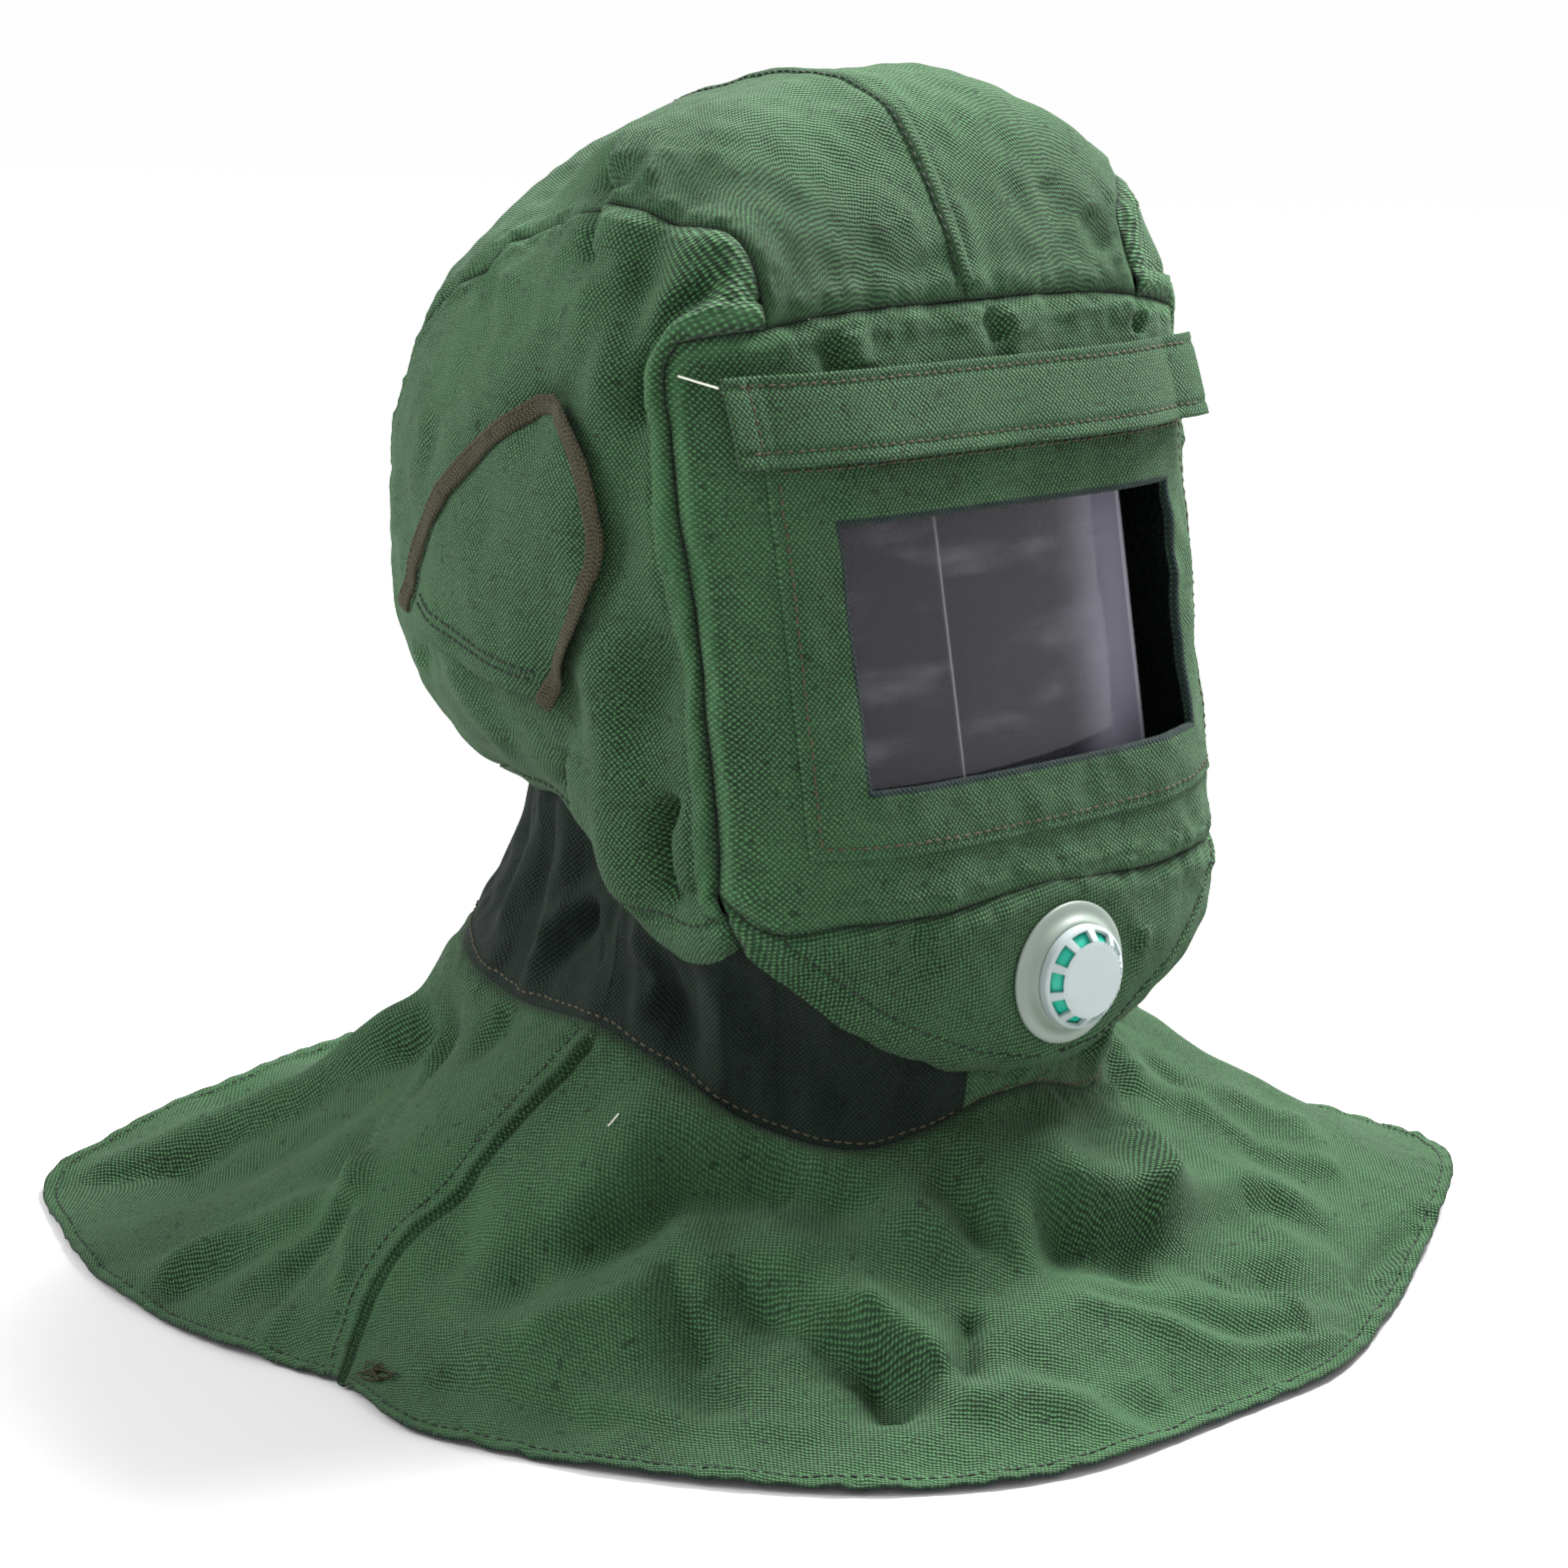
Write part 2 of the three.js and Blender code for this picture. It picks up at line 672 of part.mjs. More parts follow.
for (const [which, side] of [["right", -1], ["left", 1]]) {
  const cover = [];
  for (let j = 0; j <= EAR_ROWS; j += 1) {
    const a = earBackLine.getPointAt(j / EAR_ROWS);
    const b = earFrontLine.getPointAt(j / EAR_ROWS);
    for (let i = 0; i <= EAR_COLS; i += 1) {
      const u = i / EAR_COLS;
      const p = a.clone().lerp(b, u);
      const out = 4 * u * (1 - u) * (1 - (0.7 * j) / EAR_ROWS);
      cover.push(earSample(side, p.y, p.z, EAR_LIFT[which] + EAR_BULGE * out));
    }
  }
  addSheet(`ear_cover_${which}`, cover, gridFaces(EAR_ROWS + 1, EAR_COLS + 1), TAPE, greenCanvas);

  const binding = [0, 1].flatMap((row) =>
    bindingPath.map((p, k) => {
      const before = bindingPath[Math.max(0, k - 1)];
      const after = bindingPath[Math.min(bindingPath.length - 1, k + 1)];
      const run = after.clone().sub(before).normalize();
      const inside = row === 0 ? -BINDING_OVERHANG : TAPE_WIDTH - BINDING_OVERHANG;
      const lift = EAR_LIFT[which] + TAPE + 1.1 + row * 0.7;
      return earSample(side, p.y + run.z * inside, p.z - run.y * inside, lift);
    }),
  );
  addSheet(`ear_binding_${which}`, binding, gridFaces(2, bindingPath.length), TAPE, brownTape);
}

// The neckline, from the back round the wearer's right to the front, in shares.
const NECKLINE = [
  { across: 0, along: 1.0, up: 1.16 },
  { across: -0.5, along: 0.88, up: 1.14 },
  { across: -0.93, along: 0.52, up: 1.06 },
  { across: -1.0, along: 0.15, up: 0.99 },
  { across: -1.0, along: -0.07, up: 1.0 },
  { across: -0.98, along: -0.23, up: 1.0, shoulder: true },
  { across: -0.88, along: -0.48, up: 0.88 },
  { across: -0.76, along: -0.65, up: 0.74 },
  { across: -0.53, along: -0.85, up: 0.65 },
  { across: -0.33, along: -0.94, up: 0.7 },
  { across: -0.12, along: -0.99, up: 0.79 },
  { across: 0, along: -1.0, up: 0.8 },
];

// The hem, the same way round; lift is its height over the ground.
const HEM = [
  { across: 0, along: 0.87, lift: 14 },
  { across: -0.28, along: 0.86, lift: 21 },
  { across: -0.5, along: 0.835, lift: 17 },
  { across: -0.7, along: 0.82, lift: 9 },
  { across: -0.87, along: 0.77, lift: 2 },
  { across: -0.95, along: 0.575, lift: 0 },
  { across: -1.0, along: 0.36, lift: 0 },
  { across: -1.0, along: 0.17, lift: 0 },
  { across: -0.983, along: 0.05, lift: 0 },
  { across: -0.942, along: -0.083, lift: 0 },
  { across: -0.917, along: -0.175, lift: 0, shoulder: true },
  { across: -0.925, along: -0.337, lift: 0 },
  { across: -0.86, along: -0.5, lift: 0 },
  { across: -0.72, along: -0.72, lift: 0 },
  { across: -0.54, along: -0.9, lift: 0 },
  { across: -0.325, along: -1.0, lift: 0 },
  { across: 0, along: -1.01, lift: 0 },
];
const HEM_LEFT = [
  { across: 0, along: -1.01, lift: 0 },
  { across: 0.175, along: -1.0, lift: 0 },
  { across: 0.404, along: -0.9, lift: 0 },
  { across: 0.6, along: -0.79, lift: 5 },
  { across: 0.82, along: -0.65, lift: 9 },
  { across: 0.94, along: -0.5, lift: 3 },
  { across: 0.965, along: -0.3, lift: 0 },
  { across: 0.935, along: -0.2, lift: 0, shoulder: true },
  { across: 0.94, along: -0.05, lift: 0 },
  { across: 0.98, along: 0.1, lift: 0 },
  { across: 0.99, along: 0.3, lift: 0 },
  { across: 0.95, along: 0.575, lift: 0 },
  { across: 0.86, along: 0.75, lift: 2 },
  { across: 0.68, along: 0.84, lift: 8 },
  { across: 0.3, along: 0.87, lift: 12 },
  { across: 0, along: 0.87, lift: 14 },
];

const neckPoint = ({ across, along, up }) =>
  vec(across * NECK_HALF_WIDTH, along * (along < 0 ? NECK_FRONT : NECK_BACK), up * NECK_HEIGHT);
const hemPoint = ({ across, along, lift }) =>
  vec(across * HEM_HALF, along * HEM_HALF, HEM_HEIGHT + lift);

// Equal steps along part of a line.
function stepsAlong(points, steps) {
  return lineThrough(points).getSpacedPoints(steps);
}

// From the back to one shoulder, then to the front.
function halfLoop(rows, place) {
  const at = rows.findIndex((row) => row.shoulder);
  const line = lineThrough(rows.map(place));
  const t = at / (rows.length - 1);
  const cut = (from, to, steps) => {
    const dense = Array.from({ length: 200 }, (_, k) => line.getPoint(mix(from, to, k / 199)));
    return stepsAlong(dense, steps);
  };
  return [...cut(0, t, CAPE_BACK_STEPS), ...cut(t, 1, CAPE_FRONT_STEPS).slice(1)];
}

const neckRight = halfLoop(NECKLINE, neckPoint);
const neckLeft = neckRight.map((p) => vec(-p.x, p.y, p.z));
const hemRight = halfLoop(HEM, hemPoint);
const hemLeft = halfLoop(HEM_LEFT.slice().reverse(), hemPoint);
const neckLoop = [...neckRight, ...neckLeft.slice().reverse().slice(1, -1)];
const hemLoop = [...hemRight, ...hemLeft.slice().reverse().slice(1, -1)];
const LOOP = neckLoop.length;

// Folds of the cape, in plan: each runs through its places.
const CAPE_FOLDS = [
  {
    out: -14,
    width: 22,
    path: [
      [-0.492, 0.258],
      [-0.571, 0.375],
      [-0.667, 0.5],
      [-0.783, 0.604],
      [-0.858, 0.633],
    ],
  },
  {
    out: -6,
    width: 11,
    path: [
      [-0.492, 0.267],
      [-0.588, 0.237],
      [-0.675, 0.183],
      [-0.758, 0.108],
      [-0.842, 0.05],
    ],
  },
  {
    out: 3,
    width: 9,
    path: [
      [-0.742, 0.117],
      [-0.829, 0.237],
      [-0.967, 0.325],
    ],
  },
  {
    out: 4,
    width: 8,
    path: [
      [-0.713, 0.129],
      [-0.804, 0.075],
      [-0.938, 0.013],
    ],
  },
  {
    out: -3,
    width: 6,
    path: [
      [-0.733, 0.083],
      [-0.829, 0.1],
      [-0.929, 0.083],
    ],
  },
  {
    out: -6,
    width: 15,
    path: [
      [-0.354, 0.45],
      [-0.458, 0.604],
      [-0.521, 0.792],
    ],
  },
  {
    out: -10,
    width: 13,
    path: [
      [-0.667, -0.267],
      [-0.592, -0.304],
      [-0.517, -0.333],
      [-0.454, -0.35],
      [-0.35, -0.408],
      [-0.3, -0.483],
    ],
  },
  {
    out: 3,
    width: 11,
    path: [
      [-0.692, -0.325],
      [-0.608, -0.429],
      [-0.492, -0.467],
      [-0.4, -0.483],
    ],
  },
  {
    out: 4,
    width: 14,
    path: [
      [-0.767, -0.317],
      [-0.658, -0.408],
      [-0.55, -0.458],
    ],
  },
  {
    out: -6,
    width: 10,
    path: [
      [-0.554, -0.45],
      [-0.596, -0.533],
      [-0.613, -0.6],
    ],
  },
  {
    out: -9,
    width: 13,
    path: [
      [-0.487, -0.517],
      [-0.467, -0.642],
      [-0.425, -0.704],
    ],
  },
  {
    out: 6,
    width: 11,
    path: [
      [-0.083, -0.533],
      [-0.15, -0.592],
      [-0.254, -0.608],
      [-0.4, -0.608],
      [-0.458, -0.608],
    ],
  },
  {
    out: -7,
    width: 8,
    path: [
      [-0.15, -0.558],
      [-0.167, -0.633],
    ],
  },
  {
    out: 6,
    width: 10,
    path: [
      [-0.371, -0.658],
      [-0.35, -0.754],
      [-0.358, -0.825],
    ],
  },
  {
    out: -5,
    width: 8,
    path: [
      [-0.275, -0.733],
      [-0.333, -0.792],
    ],
  },
  {
    out: -8,
    width: 13,
    path: [
      [-0.296, -0.613],
      [-0.229, -0.696],
      [-0.113, -0.725],
      [-0.062, -0.671],
    ],
  },
  {
    out: 6,
    width: 10,
    path: [
      [0.133, -0.508],
      [0.2, -0.558],
      [0.171, -0.617],
      [0.129, -0.688],
    ],
  },
  {
    out: 6,
    width: 13,
    path: [
      [-0.087, -0.671],
      [0.075, -0.713],
      [0.242, -0.721],
      [0.371, -0.742],
    ],
  },
  {
    out: -6,
    width: 12,
    path: [
      [-0.054, -0.717],
      [0.058, -0.779],
      [0.217, -0.821],
    ],
  },
  {
    out: 4,
    width: 10,
    path: [
      [0.067, -0.825],
      [0.15, -0.883],
      [0.321, -0.912],
    ],
  },
  {
    out: 3,
    width: 8,
    path: [
      [-0.342, -0.858],
      [-0.25, -0.908],
      [-0.129, -0.921],
    ],
  },
  {
    out: -5,
    width: 9,
    path: [
      [-0.467, -0.758],
      [-0.417, -0.783],
    ],
  },
  {
    out: -7,
    width: 16,
    path: [
      [0.467, -0.175],
      [0.625, -0.258],
      [0.817, -0.308],
    ],
  },
  {
    out: -6,
    width: 15,
    path: [
      [0.458, 0.05],
      [0.667, 0.083],
      [0.892, 0.108],
    ],
  },
  {
    out: -12,
    width: 22,
    path: [
      [0.467, 0.275],
      [0.583, 0.4],
      [0.717, 0.517],
      [0.854, 0.625],
    ],
  },
  {
    out: -7,
    width: 16,
    path: [
      [-0.192, 0.483],
      [-0.233, 0.667],
      [-0.25, 0.817],
    ],
  },
  {
    out: -7,
    width: 18,
    path: [
      [0.125, 0.492],
      [0.175, 0.667],
      [0.208, 0.833],
    ],
  },
  {
    out: 4,
    width: 14,
    path: [
      [0.325, 0.45],
      [0.417, 0.625],
      [0.5, 0.812],
    ],
  },
].map((fold) => ({ ...fold, path: fold.path.map(([x, y]) => vec(x * HEM_HALF, y * HEM_HALF, 0)) }));

function capeRelief(x, y, share) {
  let out = 0;
  const flat = vec(x, y, 0);
  for (const f of CAPE_FOLDS) {
    out += f.out * Math.exp(-((distanceTo(f.path, flat) / f.width) ** 2));
  }
  return out * smooth(0, 0.15, share) * (out < 0 ? 1 - smooth(0.7, 1, share) : 1);
}

function capeAt(k, share) {
  const top = neckLoop[(k + LOOP) % LOOP];
  const foot = hemLoop[(k + LOOP) % LOOP];
  const p = top.clone().lerp(foot, share);
  const fromSeam = ((k + LOOP) % LOOP) - CAPE_BACK_STEPS;
  const sway = Math.exp(-((fromSeam / SEAM_SWAY_REACH) ** 2));
  p.y += SEAM_SWAY * sway * Math.sin(Math.PI * clamp01(share) ** 1.4);
  const back = smooth(-0.2, 0.5, top.y / NECK_BACK);
  const bell = mix(CAPE_BELL.front, CAPE_BELL.back, back);
  p.z = foot.z + (top.z - foot.z) * Math.max(0, 1 - share) ** bell;
  return p;
}

function capeSample(k, share) {
  const point = capeAt(k, share);
  const along = capeAt(k, share + 0.02).sub(capeAt(k, share - 0.02 * (share > 0.02)));
  const round = capeAt(k + 1, share).sub(capeAt(k - 1, share));
  const normal = along.cross(round).normalize();
  if (normal.z < 0) normal.negate();
  point.addScaledVector(normal, capeRelief(point.x, point.y, share));
  point.z = Math.max(point.z, HEM_HEIGHT);
  return { point, normal };
}

const CAPE_ROWS = 8;
function addCape(name, from, to) {
  const samples = [];
  for (let j = 0; j <= CAPE_ROWS; j += 1) {
    for (let k = from; k <= to; k += 1) samples.push(capeSample(k, j / CAPE_ROWS));
  }
  return addSheet(name, samples, gridFaces(CAPE_ROWS + 1, to - from + 1), CANVAS, greenCanvas, -CANVAS);
}

const RIGHT_SHOULDER = CAPE_BACK_STEPS;
const FRONT_CENTRE = CAPE_BACK_STEPS + CAPE_FRONT_STEPS;
const LEFT_SHOULDER = FRONT_CENTRE + CAPE_FRONT_STEPS;
addCape("cape_front", RIGHT_SHOULDER, LEFT_SHOULDER);
addCape("cape_back", LEFT_SHOULDER, LOOP + RIGHT_SHOULDER);

// The collar hangs inside the hood's rim and meets the cape's neckline.
const COLLAR_TUCK = 0.1;
const COLLAR_CLEAR = 2.5;
const COLLAR_PINCH = 6;
const COLLAR_PLEAT = 3;
const PLEATS = 13;
const COLLAR_ROWS = 5;
const rimHalf = [...SEAMS.backRim.slice().reverse(), ...SEAMS.sideRim.slice().reverse().slice(1)];
const rimRight = [...rimHalf, ...SEAMS.chinRim.slice(1)];
const rimLoop = [...rimRight, ...mirrored(rimRight).reverse().slice(1, -1)];
const turnOf = (p) => Math.atan2(p.x, p.y);

// The rim's direction over a place of the neckline.
function rimOver(place) {
  const want = turnOf(place);
  for (let k = 0; k < rimLoop.length; k += 1) {
    const a = plainPoint(rimLoop[k]);
    const b = plainPoint(rimLoop[(k + 1) % rimLoop.length]);
    let from = turnOf(a) - want;
    let to = turnOf(b) - want;
    from = Math.atan2(Math.sin(from), Math.cos(from));
    to = Math.atan2(Math.sin(to), Math.cos(to));
    if (from >= 0 && to <= 0 && from - to < 1) {
      const t = from / (from - to || 1e-9);
      return rimLoop[k].clone().lerp(rimLoop[(k + 1) % rimLoop.length], t).normalize();
    }
  }
  return rimLoop[0].clone();
}

function collarColumn(step) {
  const k = step % LOOP;
  const foot = neckLoop[k];
  const rim = rimOver(foot);
  const higher = rim.clone();
  higher.z += COLLAR_TUCK;
  const sides = [higher.normalize(), rim].map((d) => {
    const { point, normal } = hoodAt(d);
    return point.addScaledVector(normal, -CANVAS * 2 - COLLAR_CLEAR);
  });
  const outward = vec(foot.x, foot.y, 0).normalize();
  const column = [{ point: sides[0], normal: outward }];
  for (let j = 1; j <= COLLAR_ROWS; j += 1) {
    const t = (j - 1) / (COLLAR_ROWS - 1);
    const point = sides[1].clone().lerp(foot, t);
    const pleat = COLLAR_PLEAT * Math.cos((PLEATS * 2 * Math.PI * k) / LOOP);
    const fromFront = Math.abs(k - FRONT_CENTRE);
    const pinched = smooth(GUSSET_STEPS.right, GUSSET_STEPS.right + 3, fromFront);
    point.addScaledVector(outward, (pleat - COLLAR_PINCH) * pinched * Math.sin(Math.PI * t));
    column.push({ point, normal: outward });
  }
  return column;
}

function addCollar(name, from, to, material) {
  const columns = [];
  for (let k = from; k <= to; k += 1) columns.push(collarColumn(k));
  const samples = [];
  for (let j = 0; j <= COLLAR_ROWS; j += 1) for (const c of columns) samples.push(c[j]);
  return addSheet(name, samples, gridFaces(COLLAR_ROWS + 1, columns.length), CANVAS, material, -CANVAS);
}

addCollar("neck_collar", FRONT_CENTRE + GUSSET_STEPS.left, LOOP + FRONT_CENTRE - GUSSET_STEPS.right, darkCloth);
addCollar("front_gusset", FRONT_CENTRE - GUSSET_STEPS.right, FRONT_CENTRE + GUSSET_STEPS.left, greenCanvas);

// The valve stands on the chin with its axis along -y: a flange with a boss, a disc on the
// boss, and over the disc a cap whose sloping ring has the slots.
function turned(radius, height, turn) {
  const x = VALVE_X + radius * Math.cos(turn);
  const z = VALVE_Z + radius * Math.sin(turn);
  return vec(x, VALVE_SEAT - height, z);
}

// A solid turned from a profile of [radius, height], closed at both ends.
function addTurned(name, profile, segments, material) {
  const points = [];
  for (const [radius, height] of profile) {
    for (let k = 0; k < segments; k += 1) {
      points.push(turned(radius, height, (k / segments) * Math.PI * 2));
    }
  }
  const faces = gridFaces(profile.length, segments, true);
  const low = points.push(turned(0, profile[0][1], 0)) - 1;
  const high = points.push(turned(0, profile[profile.length - 1][1], 0)) - 1;
  for (const [a, b] of openEdges(faces)) faces.push([b, a, a < segments ? low : high]);
  const volume = faces.reduce((sum, [a, b, c]) => {
    return sum + points[a].dot(points[b].clone().cross(points[c]));
  }, 0);
  const out = volume < 0 ? faces.map(([a, b, c]) => [a, c, b]) : faces;
  return addMesh(name, points, out, material);
}

addTurned(
  "valve_flange",
  [
    [VALVE_FLANGE_RADIUS, GAP],
    [VALVE_FLANGE_RADIUS, VALVE_FLANGE_HEIGHT],
    [VALVE_FOOT_RADIUS + 1.5, VALVE_FLANGE_HEIGHT + 0.3],
    [VALVE_FOOT_RADIUS - 0.6, VALVE_FLANGE_HEIGHT + 1.8],
    [VALVE_CAP_RADIUS, VALVE_BOSS_HEIGHT],
  ],
  36,
  whitePlastic,
);
addTurned(
  "valve_diaphragm",
  [
    [VALVE_DISC_RADIUS, VALVE_BOSS_HEIGHT + GAP],
    [VALVE_DISC_RADIUS, VALVE_BOSS_HEIGHT + GAP + VALVE_DISC_HEIGHT],
  ],
  30,
  tealRubber,
);

// The cap: rings from its foot to its flat front, with cells left out for the slots.
const capRings = [
  [VALVE_CAP_RADIUS, VALVE_BOSS_HEIGHT + GAP, 0],
  [VALVE_SHOULDER_RADIUS, VALVE_SHOULDER_HEIGHT, 0.2],
  [VALVE_SHOULDER_RADIUS - 0.9, VALVE_SHOULDER_HEIGHT + 1.2, 0.7],
  [VALVE_FACE_RADIUS + 0.9, VALVE_HEIGHT - 0.4, 0.85],
  [VALVE_FACE_RADIUS, VALVE_HEIGHT, 1],
  [VALVE_FACE_RADIUS * 0.5, VALVE_HEIGHT, 1],
];
const SLOT_RING = 2;
const SLOT_STEPS = 3;
const capSteps = VALVE_SLOTS * SLOT_STEPS;
const capSamples = capRings.flatMap(([radius, height, forward]) =>
  Array.from({ length: capSteps }, (_, k) => {
    const slot = Math.floor(k / SLOT_STEPS);
    const part = [0, VALVE_SLOT_SHARE / 2, VALVE_SLOT_SHARE][k % SLOT_STEPS];
    const turn = ((slot + part - VALVE_SLOT_TURN) / VALVE_SLOTS) * Math.PI * 2;
    const lean = (forward * Math.PI) / 2;
    const normal = vec(Math.cos(turn) * Math.cos(lean), -Math.sin(lean), Math.sin(turn) * Math.cos(lean));
    return { point: turned(radius, height, turn), normal };
  }),
);
const capFaces = gridFaces(capRings.length, capSteps, true).filter((face) => {
  const ring = Math.min(...face.map((k) => Math.floor(k / capSteps)));
  const steps = face.map((k) => k % capSteps);
  const first = Math.max(...steps) - Math.min(...steps) > 1 ? capSteps - 1 : Math.min(...steps);
  return !(ring === SLOT_RING && first % SLOT_STEPS < SLOT_STEPS - 1);
});
const capFront = capSamples.push({ point: turned(0, VALVE_HEIGHT, 0), normal: vec(0, -1, 0) }) - 1;
for (let k = 0; k < capSteps; k += 1) {
  const ring = (capRings.length - 1) * capSteps;
  capFaces.push([ring + ((k + 1) % capSteps), ring + k, capFront]);
}
const capOrder = capFaces.map((face) => {
  const [a, b, c] = face.map((k) => capSamples[k]);
  const facing = b.point.clone().sub(a.point).cross(c.point.clone().sub(a.point));
  return facing.dot(a.normal.clone().add(b.normal).add(c.normal)) < 0 ? [face[0], face[2], face[1]] : face;
});
addSheet("valve_cap", capSamples, capOrder, VALVE_WALL, whitePlastic, -VALVE_WALL);

root.position.set(0, 0, -(EYE_LEVEL + CROWN_RISE - CANVAS));
export default root;
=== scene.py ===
# A canvas sandblasting hood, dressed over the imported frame. Shapes are worked out in the
# same millimetres as the solids (z up, window to -y, hem at z = 0) and placed in metres.
import math
import bmesh
import bpy
import numpy as np
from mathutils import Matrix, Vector, kdtree


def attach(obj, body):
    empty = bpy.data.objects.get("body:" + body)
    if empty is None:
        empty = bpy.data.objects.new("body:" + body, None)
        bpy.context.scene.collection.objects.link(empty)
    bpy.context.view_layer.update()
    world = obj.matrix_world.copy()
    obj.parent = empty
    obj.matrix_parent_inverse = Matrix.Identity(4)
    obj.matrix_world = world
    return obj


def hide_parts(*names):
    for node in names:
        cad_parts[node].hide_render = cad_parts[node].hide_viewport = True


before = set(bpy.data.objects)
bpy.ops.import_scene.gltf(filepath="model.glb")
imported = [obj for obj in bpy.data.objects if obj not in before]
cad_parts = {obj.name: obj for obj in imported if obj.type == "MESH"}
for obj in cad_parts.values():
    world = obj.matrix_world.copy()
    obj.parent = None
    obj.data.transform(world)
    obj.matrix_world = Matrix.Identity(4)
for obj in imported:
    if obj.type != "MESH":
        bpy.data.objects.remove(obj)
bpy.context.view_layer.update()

# Named sizes, as in the solids.
CANVAS, TAPE = 1.8, 1.2
HALF_WIDTH, FACE_DEPTH, BACK_DEPTH = 124.0, 119.5, 156.0
CROWN_RISE, CHIN_DROP, NAPE_DROP = 160.0, 165.0, 103.0
EYE_LEVEL, FACE_LEAN = 250.0, 0.2
PLAN_FACE, PLAN_BACK = 4.0, 2.3
CROWN_FACE, CROWN_BACK = 3.3, 2.3
CHIN_FACE, CHIN_BACK = 6.0, 2.6
SEAT_Z = EYE_LEVEL + CROWN_RISE - CANVAS
WINDOW_SHIFT, WINDOW_HALF_WIDTH = 7.0, 75.0
WINDOW_TOP, WINDOW_BOTTOM = EYE_LEVEL + 26.5, EYE_LEVEL - 58.0
FRAME_BAND = 22.0
LENS_OVERLAP, LENS_RIGHT_INSET, LENS_THICKNESS, LENS_SETBACK = 12.0, 8.0, 0.8, 14.0
FLAP_HEIGHT, FLAP_TOP = 28.0, EYE_LEVEL + 75.0
FLAP_HALF_WIDTH, FLAP_SHIFT, FLAP_THICKNESS, FLAP_STANDOFF = 105.0, 2.5, 2.4, 3.2
VALVE_X, VALVE_Z, VALVE_SEAT = 6.0, 122.0, -143.5
VALVE_FLANGE_RADIUS = 24.5
NECK_HALF_WIDTH, NECK_FRONT, NECK_BACK, NECK_HEIGHT = 107.0, 125.0, 118.0, 97.0
HEM_HALF, HEM_HEIGHT = 240.0, 2.4
SEAM_SWAY, SEAM_SWAY_REACH = 25.0, 6.0
BELL_FRONT, BELL_BACK = 1.35, 2.1
TOP_STEPS, CORNER_STEPS, FACE_STEPS, JAW_STEPS, CROWN_ROWS = 13, 3, 8, 4, 6
FRONT_STEPS = CORNER_STEPS + FACE_STEPS + JAW_STEPS
CHIN_STEPS = CROWN_ROWS + CORNER_STEPS
CAPE_FRONT_STEPS, CAPE_BACK_STEPS = 15, 11
GUSSET_RIGHT, GUSSET_LEFT = 2, 9
LOOP = 2 * (CAPE_FRONT_STEPS + CAPE_BACK_STEPS)
FINE = 8          # fine cells for each cell of the hood's solids
CAPE_FINE = 48    # the same, round the cape, of which every third is kept away from the seams
FAR = 1e9


def smooth(a, b, x):
    t = np.clip((np.asarray(x, float) - a) / (b - a), 0, 1)
    return t * t * (3 - 2 * t)


def mix(a, b, t):
    return a + (b - a) * t


def unit(v):
    return v / np.maximum(np.linalg.norm(v, axis=-1, keepdims=True), 1e-12)


def place(p):
    return (np.asarray(p, float) - np.array([0, 0, SEAT_Z])) / 1000.0


# The hood's plain surface.
def plain(d):
    d = np.asarray(d, float)
    x, y, z = d[..., 0], d[..., 1], d[..., 2]
    turn = y / np.maximum(np.hypot(x, y), 1e-9)
    back = smooth(-0.55, 0.35, turn)
    low = smooth(-0.8, 0.1, turn)
    plan = mix(PLAN_FACE, PLAN_BACK, back)
    rise = np.where(z > 0, mix(CROWN_FACE, CROWN_BACK, back), mix(CHIN_FACE, CHIN_BACK, low))
    drop = mix(CHIN_DROP, NAPE_DROP, smooth(-1.0, 0.1, turn))
    flat = (np.abs(x) ** plan + np.abs(y) ** plan) ** (1 / plan)
    size = (flat ** rise + np.abs(z) ** rise) ** (-1 / rise)
    up = EYE_LEVEL + np.where(z > 0, CROWN_RISE, drop) * z * size
    depth = np.where(y < 0, FACE_DEPTH + FACE_LEAN * (EYE_LEVEL - up), BACK_DEPTH)
    return np.stack([HALF_WIDTH * x * size, depth * y * size, up], -1)


def plain_normal(d):
    d = unit(np.asarray(d, float))
    side = np.where(np.abs(d[..., 2:3]) < 0.9, [0, 0, 1.0], [0, 1.0, 0])
    a = unit(np.cross(d, side))
    b = unit(np.cross(d, a))
    e = 0.02
    n = np.cross(plain(d + e * a) - plain(d - e * a), plain(d + e * b) - plain(d - e * b))
    n = unit(n)
    return np.where((n * d).sum(-1, keepdims=True) < 0, -n, n)


def dir_of(x, y, z):
    x, y, z = (np.asarray(v, float) for v in (x, y, z))
    turn = y / np.where(y < 0, FACE_DEPTH, BACK_DEPTH)
    flat = np.hypot(x / HALF_WIDTH, turn)
    drop = mix(CHIN_DROP, NAPE_DROP, smooth(-1.0, 0.1, turn / np.maximum(flat, 1e-9)))
    depth = np.where(y < 0, FACE_DEPTH + FACE_LEAN * (EYE_LEVEL - z), BACK_DEPTH)
    up = (z - EYE_LEVEL) / np.where(z > EYE_LEVEL, CROWN_RISE, drop)
    return unit(np.stack([x / HALF_WIDTH, y / depth, up], -1))


def face_dir(x, z):
    x, z = np.asarray(x, float), np.asarray(z, float)
    up = (z - EYE_LEVEL) / np.where(z > EYE_LEVEL, CROWN_RISE, CHIN_DROP)
    rise = np.where(z > EYE_LEVEL, CROWN_FACE, CHIN_FACE)
    flat = (1 - np.abs(up) ** rise) ** (1 / rise)
    along = np.maximum(flat ** 4 - np.abs(x / HALF_WIDTH) ** 4, 1e-6) ** 0.25
    return unit(np.stack([x / HALF_WIDTH, -along, up], -1))


def at(rows):
    return plain(unit(np.array(rows, float)))


